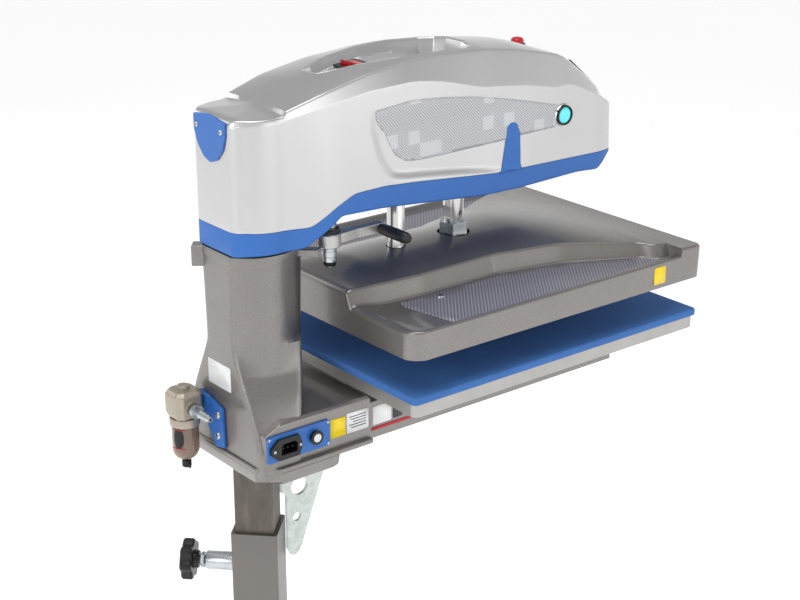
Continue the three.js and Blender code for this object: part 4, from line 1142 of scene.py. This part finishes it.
col = obj("base_casting_shell", *loft([column_loop(z) for z in list(np.arange(-108, 158, 3.0)) + [158.0]]), "grey", "press_base",
          replaces=("base_casting",), slot="grey_paint")
collar = helper(*loft([column_loop(z, g) for z, g in ((157.2, -0.6), (157.8, 0.5), (158.6, 0.9), (168.0, 0.9), (169.0, 0.4), (169.4, -0.6))]))
lower = helper(*loft([[(hw, y0, z), (hw, y1 - 26, z), (hw - 22, y1, z), (-hw + 22, y1, z), (-hw, y1 - 26, z), (-hw, y0, z)]
                      for z, hw, y1, y0 in ((-121.5, 90, 398, 296), (-116, 94, 402, 289), (-102, 96, 404, 288))]), bev=2.0)
ledge = helper(*cprism([(97, 235), (97, 380), (76, 405), (-76, 405), (-97, 380), (-97, 235)], -102.5, -95.5), bev=2.2)
block = helper(*loft([[(hw, y0, z), (hw, y1, z), (-hw, y1, z), (-hw, y0, z)] for z, hw, y0, y1 in ((-98, 90, 235, 398), (-50, 90, 235, 398), (-41.5, 90, 235, 380), (-37, 87, 238, 372))]), bev=1.6)


def turned_box(x0, x1, y0, y1, z0, z1, deg):
    a = math.radians(deg)
    v, f = cbox(x0, x1, y0, y1, z0, z1)
    return [(x * math.cos(a) - y * math.sin(a), AX + x * math.sin(a) + y * math.cos(a), z) for x, y, z in v], f


ear1 = helper(*turned_box(52, 87, -7, 7, 157, 167, 220), bev=1.5)
ear2 = helper(*turned_box(52, 74, -10, 10, 141, 168, 51), bev=2.0)
unite(col, collar, lower, ledge, block, ear1, ear2)
cut_with(col, [cyl_verts(22, (0, AX, 120), (0, AX, 200), 72), cbox(-82, 82, 243, 390.6, -130, -60),
               cyl_verts(8, (-110, 326, -67.5), (-70, 326, -67.5), 40), cbox(-110, -70, 352, 382, -80.5, -58.5)])
shade(col, 30)

# ------------------------------------------------------------------ blue silicone pad
def pad_loops():
    loops = []
    prof = [(2.2, -9.7), (0.8, -9.4), (0.15, -8.4), (0.0, -6.5), (0.0, -3.4), (0.2, -1.7), (0.9, -0.55), (2.0, -0.08), (3.6, 0.0)]
    for ins, z in prof:
        ring_ = rrect(-203 + ins, 203 - ins, -254 + ins, 254 - ins, 7 - min(ins, 3), 8)
        loops.append([(x, y, z) for x, y in ring_])
    return loops


lp = pad_loops()
pad_v, pad_f = loft(lp)
pad = obj("press_pad", pad_v, pad_f, "pad", "platen_drawer", replaces=("lower_pad",), slot="blue_pad")
shade(pad, 40)

# ------------------------------------------------------------------ mast clamp: boss, screw, knob
D = math.sqrt(0.5)
CZ = -278.0


def on_diag(x, y=0.0, z=0.0, sx=1, sy=1):
    k = math.hypot(sx, sy)
    ux, uy = sx / k, sy / k
    return (x * ux - y * uy, MY + x * uy + y * ux, z)


dg = (D, D, 0)
o_ = (0, MY, CZ)
lathe("clamp_boss_turned", [(6.6, 31.2), (12.5, 31.2), (12.5, 69.8), (11.6, 71), (6.6, 71), (6.6, 31.2)], "zinc", "stand", origin=o_, axis=dg, replaces=("clamp_boss",), slot="zinc")
thread = [(0, 26.2), (6.0, 26.2)]
x = 28.0
while x < 85:
    thread += [(6.2, x), (5.6, x + 0.75)]
    x += 1.5
thread += [(5.8, 86), (0, 86)]
lathe("clamp_screw_turned", thread, "zinc", "clamp_screw_slider", origin=o_, axis=dg, n=48, replaces=("clamp_screw",), slot="zinc")
hexn = [(10.5 * math.cos(math.radians(60 * i)), 10.5 * math.sin(math.radians(60 * i))) for i in range(6)]
fr = lambda u, v, h: (h * D - u * D, MY + h * D + u * D, CZ + v)
prism("clamp_lock_nut", hexn, 73, 78, "zinc", "clamp_screw_slider", frame3=fr, bev=0.6, slot="zinc")
lob = [((25.6 + 2.4 * math.cos(7 * t)) * math.cos(t), (25.6 + 2.4 * math.cos(7 * t)) * math.sin(t)) for t in np.linspace(0, 2 * math.pi, 141)[:-1]]
loops = []
for k_, h in ((0.86, 87.0), (0.93, 87.3), (0.98, 88.4), (1.0, 90.0), (1.0, 99.6), (0.985, 101.2), (0.94, 102.6), (0.86, 103.2), (0.66, 103.4)):
    loops.append([fr(u * k_, v * k_, h) for u, v in lob])
kn = obj("clamp_knob_moulded", *loft(loops), "black", "clamp_knob_body", replaces=("clamp_knob",), slot="black_plastic")
shade(kn, 40)
lathe("clamp_knob_hub", [(6.6, 80.8), (10.6, 80.8), (12, 82.2), (12.6, 88), (6.6, 88), (6.6, 80.8)], "black", "clamp_knob_body", origin=o_, axis=dg, slot="black_plastic")
lathe("clamp_knob_face", [(0, 101), (16.4, 101), (16.9, 103.4), (16.2, 104.6), (14.2, 105), (0, 105)], "black", "clamp_knob_body", origin=o_, axis=dg, slot="black_plastic")

# ------------------------------------------------------------------ air filter
FX, FY = 46.0, 430.0
lathe("filter_bowl_moulded", [(0, -118), (4, -117.8), (10, -116.6), (14.2, -113), (16.8, -108), (17.5, -103), (17.5, -62), (17.5, -58.4), (15.4, -58.4), (15.0, -62), (15.0, -103), (13.0, -109.6), (9, -113.6), (3.6, -114.6), (0, -114.6)],
      "bowl", "press_base", origin=(FX, FY, 0), replaces=("filter_bowl",), slot="smoky_bowl")
lathe("filter_bowl_ring", [(17.6, -70), (19.2, -69.4), (19.6, -68), (19.6, -60.4), (19.0, -58.8), (17.6, -58.6), (17.6, -70)], "beige", "press_base", origin=(FX, FY, 0), slot="beige_metal")
lathe("filter_element", [(0, -100), (7, -100), (8.2, -98), (8.2, -62), (0, -62)], "label", "press_base", origin=(FX, FY, 0), slot="insulation")
fv = loft([[(FX + p[0], FY + p[1], z) for p in ((h, -h + 7), (h, h - 7), (h - 7, h), (-h + 7, h), (-h, h - 7), (-h, -h + 7), (-h + 7, -h), (h - 7, -h))]
           for z, h in ((-58, 17.5), (-50, 20), (-26, 20), (-21, 16))])
fb = obj("filter_body_cast", *fv, "beige", "press_base", replaces=("filter_body",), slot="beige_metal")
bevel(fb, 1.6, 4, angle=20, weighted=False)
unite(fb, helper(*cyl_verts(8, (FX, FY, -24), (FX, FY, -16), 48), bev=1.0), helper(*cyl_verts(9.5, (FX + 16, FY, -40), (FX + 24, FY, -40), 48), bev=1.0),
      helper(*cyl_verts(10.5, (FX - 17, FY, -43), (FX - 21.4, FY, -43), 48), bev=0.8))
cut_with(fb, [cyl_verts(6.3, (FX - 45, FY, -43), (FX - 16, FY, -43), 36)])
shade(fb, 32)
barb = [(0, 0), (5.6, 0), (5.6, 6), (9, 6.1), (9, 13), (4.5, 13.1), (4.5, 20), (6, 21), (4.2, 27), (5.6, 27.5), (3.6, 34), (5.2, 34.5), (3.2, 42), (1.8, 42), (1.8, 24), (0, 24)]
BR = 17.8
ov = [(7.5 * math.cos(t), -84 + 15 * math.sin(t)) for t in np.linspace(0, 2 * math.pi, 36, endpoint=False)]
az0 = math.radians(118)
patch("filter_window", ov, lambda u, v: (FX + BR * math.cos(az0 + u / BR), FY + BR * math.sin(az0 + u / BR), v), "black", "press_base", step=2.0, thick=0.3, slot="black_plastic")
for i, zc in enumerate((-72.0, -98.5)):
    ln_ = [(-9, zc - 0.6), (9, zc - 0.6), (9, zc + 0.6), (-9, zc + 0.6)]
    patch("filter_line_%d" % i, ln_, lambda u, v: (FX + (BR + 0.2) * math.cos(az0 + u / BR), FY + (BR + 0.2) * math.sin(az0 + u / BR), v), "redline", "press_base", step=1.0, thick=0.2, slot="red_plastic")
lathe("hose_barb_turned", barb, "zinc", "press_base", origin=(FX - 20.5, FY, -43), axis=(-1, 0, 0), n=64, replaces=("hose_barb",), slot="zinc")
lathe("drain_cock_turned", [(0, -130), (5.2, -130), (6.2, -129), (6.2, -121.4), (5.4, -120.4), (3.1, -120.2), (3.1, -112), (0, -112)], "black", "drain_cock_body",
      origin=(FX, FY, 0), n=48, replaces=("drain_cock",), slot="black_plastic")
prism("drain_cock_wings", rrect(FX - 9, FX + 9, FY - 1.6, FY + 1.6, 1.2, 4), -130, -124, "black", "drain_cock_body", bev=0.6, slot="black_plastic")
lathe("reset_button_turned", [(0, -20), (7.2, -20), (7.2, -1.8), (9.2, -1.6), (9.5, -0.9), (9.3, 0.6), (8.3, 1.0), (6.6, 1.0), (6.2, 0.4), (0, 0.2)], "black", "reset_button_body",
      origin=(-99, 326, -67.5), axis=(-1, 0, 0), n=64, replaces=("reset_button",), slot="zinc")
lathe("reset_button_face", [(0, 0.1), (5.6, 0.1), (5.6, 1.0), (4.8, 1.6), (0, 1.8)], "pale", "reset_button_body", origin=(-99, 326, -67.5), axis=(-1, 0, 0), n=48, slot="red_plastic")

# ------------------------------------------------------------------ casters
FRONT_LEG, REAR_LEG = 600.0, 330.0
for tag, sx, sy, ln in (("front_left", -1, -1, FRONT_LEG), ("front_right", 1, -1, FRONT_LEG), ("rear_left", -1, 1, REAR_LEG), ("rear_right", 1, 1, REAR_LEG)):
    cx, cy = sx * (ln - 30) * D, MY + sy * (ln - 30) * D
    az = -950 + 37.5
    w_ = 12.0
    body = "wheel_" + tag
    lathe("wheel_tyre_" + tag, [(24, -w_ + 1.5), (33.5, -w_ + 0.8), (35.8, -w_ + 1.4), (37.2, -w_ + 4), (37.5, -3), (37.5, 3), (37.2, w_ - 4), (35.8, w_ - 1.4), (33.5, w_ - 0.8), (24, w_ - 1.5), (24, -w_ + 1.5)],
          "tread", body, origin=(cx, cy - 28, az), axis=(1, 0, 0), replaces=("caster_wheel_" + tag,), slot="rubber")
    lathe("wheel_hub_" + tag, [(5.2, -w_), (11, -w_), (12, -w_ + 1.2), (13, -w_ + 5), (23, -w_ + 5.4), (24.6, -w_ + 1.0), (26, -w_ + 1.2), (26, w_ - 1.2), (24.6, w_ - 1.0), (23, w_ - 5.4), (13, w_ - 5), (12, w_ - 1.2), (11, w_), (5.2, w_), (5.2, -w_)],
          "black", body, origin=(cx, cy - 28, az), axis=(1, 0, 0), slot="black_plastic")

# ------------------------------------------------------------------ labels, screws and small fittings
def sheet_x(name, y0, y1, z0, z1, x, mat, body, r=1.5, t=0.35, slot="silver_paint", s=-1):
    prism(name, rrect(y0, y1, z0, z1, r, 5), min(x, x + s * t), max(x, x + s * t), mat, body, frame3=XF, bev=0, slot=slot)


sheet_x("base_label_yellow", 275.5, 300.5, -80.5, -55, -90.2, "yellow", "press_base")
sheet_x("base_label_white", 239, 274, -80.5, -53, -90.2, "label", "press_base")
for i, z in enumerate((-58.5, -62.3, -66.1, -69.9, -73.7)):
    sheet_x("base_label_line_%d" % i, 243, 270 - (i % 3) * 3.0, z - 0.7, z + 0.5, -90.6, "ink", "press_base", r=0.3, t=0.12)
prism("column_label_white", rrect(-23, 28, -12, 21, 1.5, 5), 402.0, 402.5, "label", "press_base", frame3=YF, bev=0, slot="silver_paint")
prism("platen_label_yellow", rrect(-181.5, -159.5, 55.5, 79.5, 2, 5), -206.05, -205.2, "yellow", "upper_platen", frame3=XF, bev=0, slot="silver_paint")
for i, (y, z) in enumerate(((344, -75.5), (397.5, -75.5))):
    pass
screw("panel_screw_rear", (-93.4, 394.4, -53.8), (-1, 0, 0), 1.9, "press_base", height=1.0)
screw("panel_screw_front", (-93.4, 305.2, -83.0), (-1, 0, 0), 1.9, "press_base", height=1.0)
screw("panel_screw_top", (-93.4, 305.2, -53.8), (-1, 0, 0), 1.9, "press_base", height=1.0)
for i, y in enumerate((350.6, 389.2)):
    screw("inlet_screw_%d" % i, (-97.6, y, -69.5), (-1, 0, 0), 2.0, "press_base", height=1.0)
screw("bracket_screw_top", (4, 406.0, -50), (0, 1, 0), 5.0, "press_base", height=2.6)
screw("bracket_screw_bottom", (5, 406.0, -79), (0, 1, 0), 5.0, "press_base", height=2.6)
# rail housing stripe and labels
sheet_x("rail_label_pale", 198, 229, -83, -57, -86.05, "label", "press_base")
sheet_x("rail_label_dark", 180, 195, -82, -60, -86.05, "darklabel", "press_base")
sheet_x("rail_stripe_red", -202, 231, -90.5, -86, -86.05, "redline", "press_base", r=1.0, t=0.3)
sheet_x("rail_stripe_red_right", -202, 231, -90.5, -86, 86.05, "redline", "press_base", r=1.0, t=0.3, s=1)

# front control console: display window and keys, no lettering
SL = math.atan2(62.5, 75)


def on_slope(u, v, h):
    ca, sa = math.cos(SL), math.sin(SL)
    return (u, -155 + v * ca - h * sa, 320.3 + v * sa + h * ca)


prism("display_window", rrect(-36, 20, -14, 20, 3, 6), 3.0, 3.9, "display", "swing_head", frame3=on_slope, bev=0.3, slot="black_plastic")
for i, (u, v) in enumerate(((-30, -23), (-12, -23), (6, -23), (24, -23))):
    prism("keypad_key_%d" % i, rrect(u - 6.5, u + 6.5, v - 4, v + 4, 2, 5), 3.0, 4.4, "pale", "swing_head", frame3=on_slope, bev=0.5, slot="silver_paint")
for i, (u, v) in enumerate(((38, 12), (38, -4))):
    prism("keypad_round_%d" % i, circle(u, v, 6.5, 40), 3.0, 4.4, "pale" if i else "teal", "swing_head", frame3=on_slope, bev=0.5, slot="silver_paint")
for i, (u, v) in enumerate(((-53, 26), (53, 26), (-53, -26), (53, -26))):
    screw("console_screw_%d" % i, on_slope(u, v, 3.0), (0, -math.sin(SL), math.cos(SL)), 2.4, "swing_head")

# ------------------------------------------------------------------ CAD nodes that stay in view
KEEP = dict(
    outer_mast_tube=("tube", 1.0), inner_mast_tube=("dark", 0.8), mast_gusset=("galv", 0.6),
    leg_front_left=("tube", 1.2), leg_front_right=("tube", 1.2), leg_rear_left=("tube", 1.2), leg_rear_right=("tube", 1.2),
    caster_fork_front_left=("zinc", 0.6), caster_fork_front_right=("zinc", 0.6), caster_fork_rear_left=("zinc", 0.6), caster_fork_rear_right=("zinc", 0.6),
    rail_housing=("grey", 0.8), rail_left=("alu", 0.6), rail_right=("alu", 0.6), power_panel=("blue", 0.6), power_inlet=("black", 0.5),
    filter_bracket=("blue", 0.8), draw_carriage=("alu", 1.0), platen_post=("grey", 1.2), lower_platen=("alu", 1.0),
    rocker_frame=("black", 0.7), power_rocker=("red", 0.7), head_frame=("grey", 1.0), swing_bush=("bronze", 0.5),
    guide_bush=("bronze", 0.5), air_cylinder=("alu", 0.8), control_panel=("black", 0.6), heater_plate=("alu", 0.8), insulation_blanket=("insul", 0.5),
)
for name, node in NODES.items():
    key, bev = KEEP.get(name, ("grey", 0.0))
    node.data.materials.clear()
    node.data.materials.append(MAT[key])
    if bev > 0:
        b = node.modifiers.new("edge", "BEVEL")
        b.width = bev * 0.001
        b.segments = 3
        b.limit_method = "ANGLE"
        b.angle_limit = math.radians(38)
        b.use_clamp_overlap = True
        b.harden_normals = False
        w = node.modifiers.new("shade", "WEIGHTED_NORMAL")
        w.weight = 60

# ------------------------------------------------------------------ every piece on its body
for o, body, rep, slot in PIECES:
    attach(o, body)
    if rep:
        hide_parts(*rep)
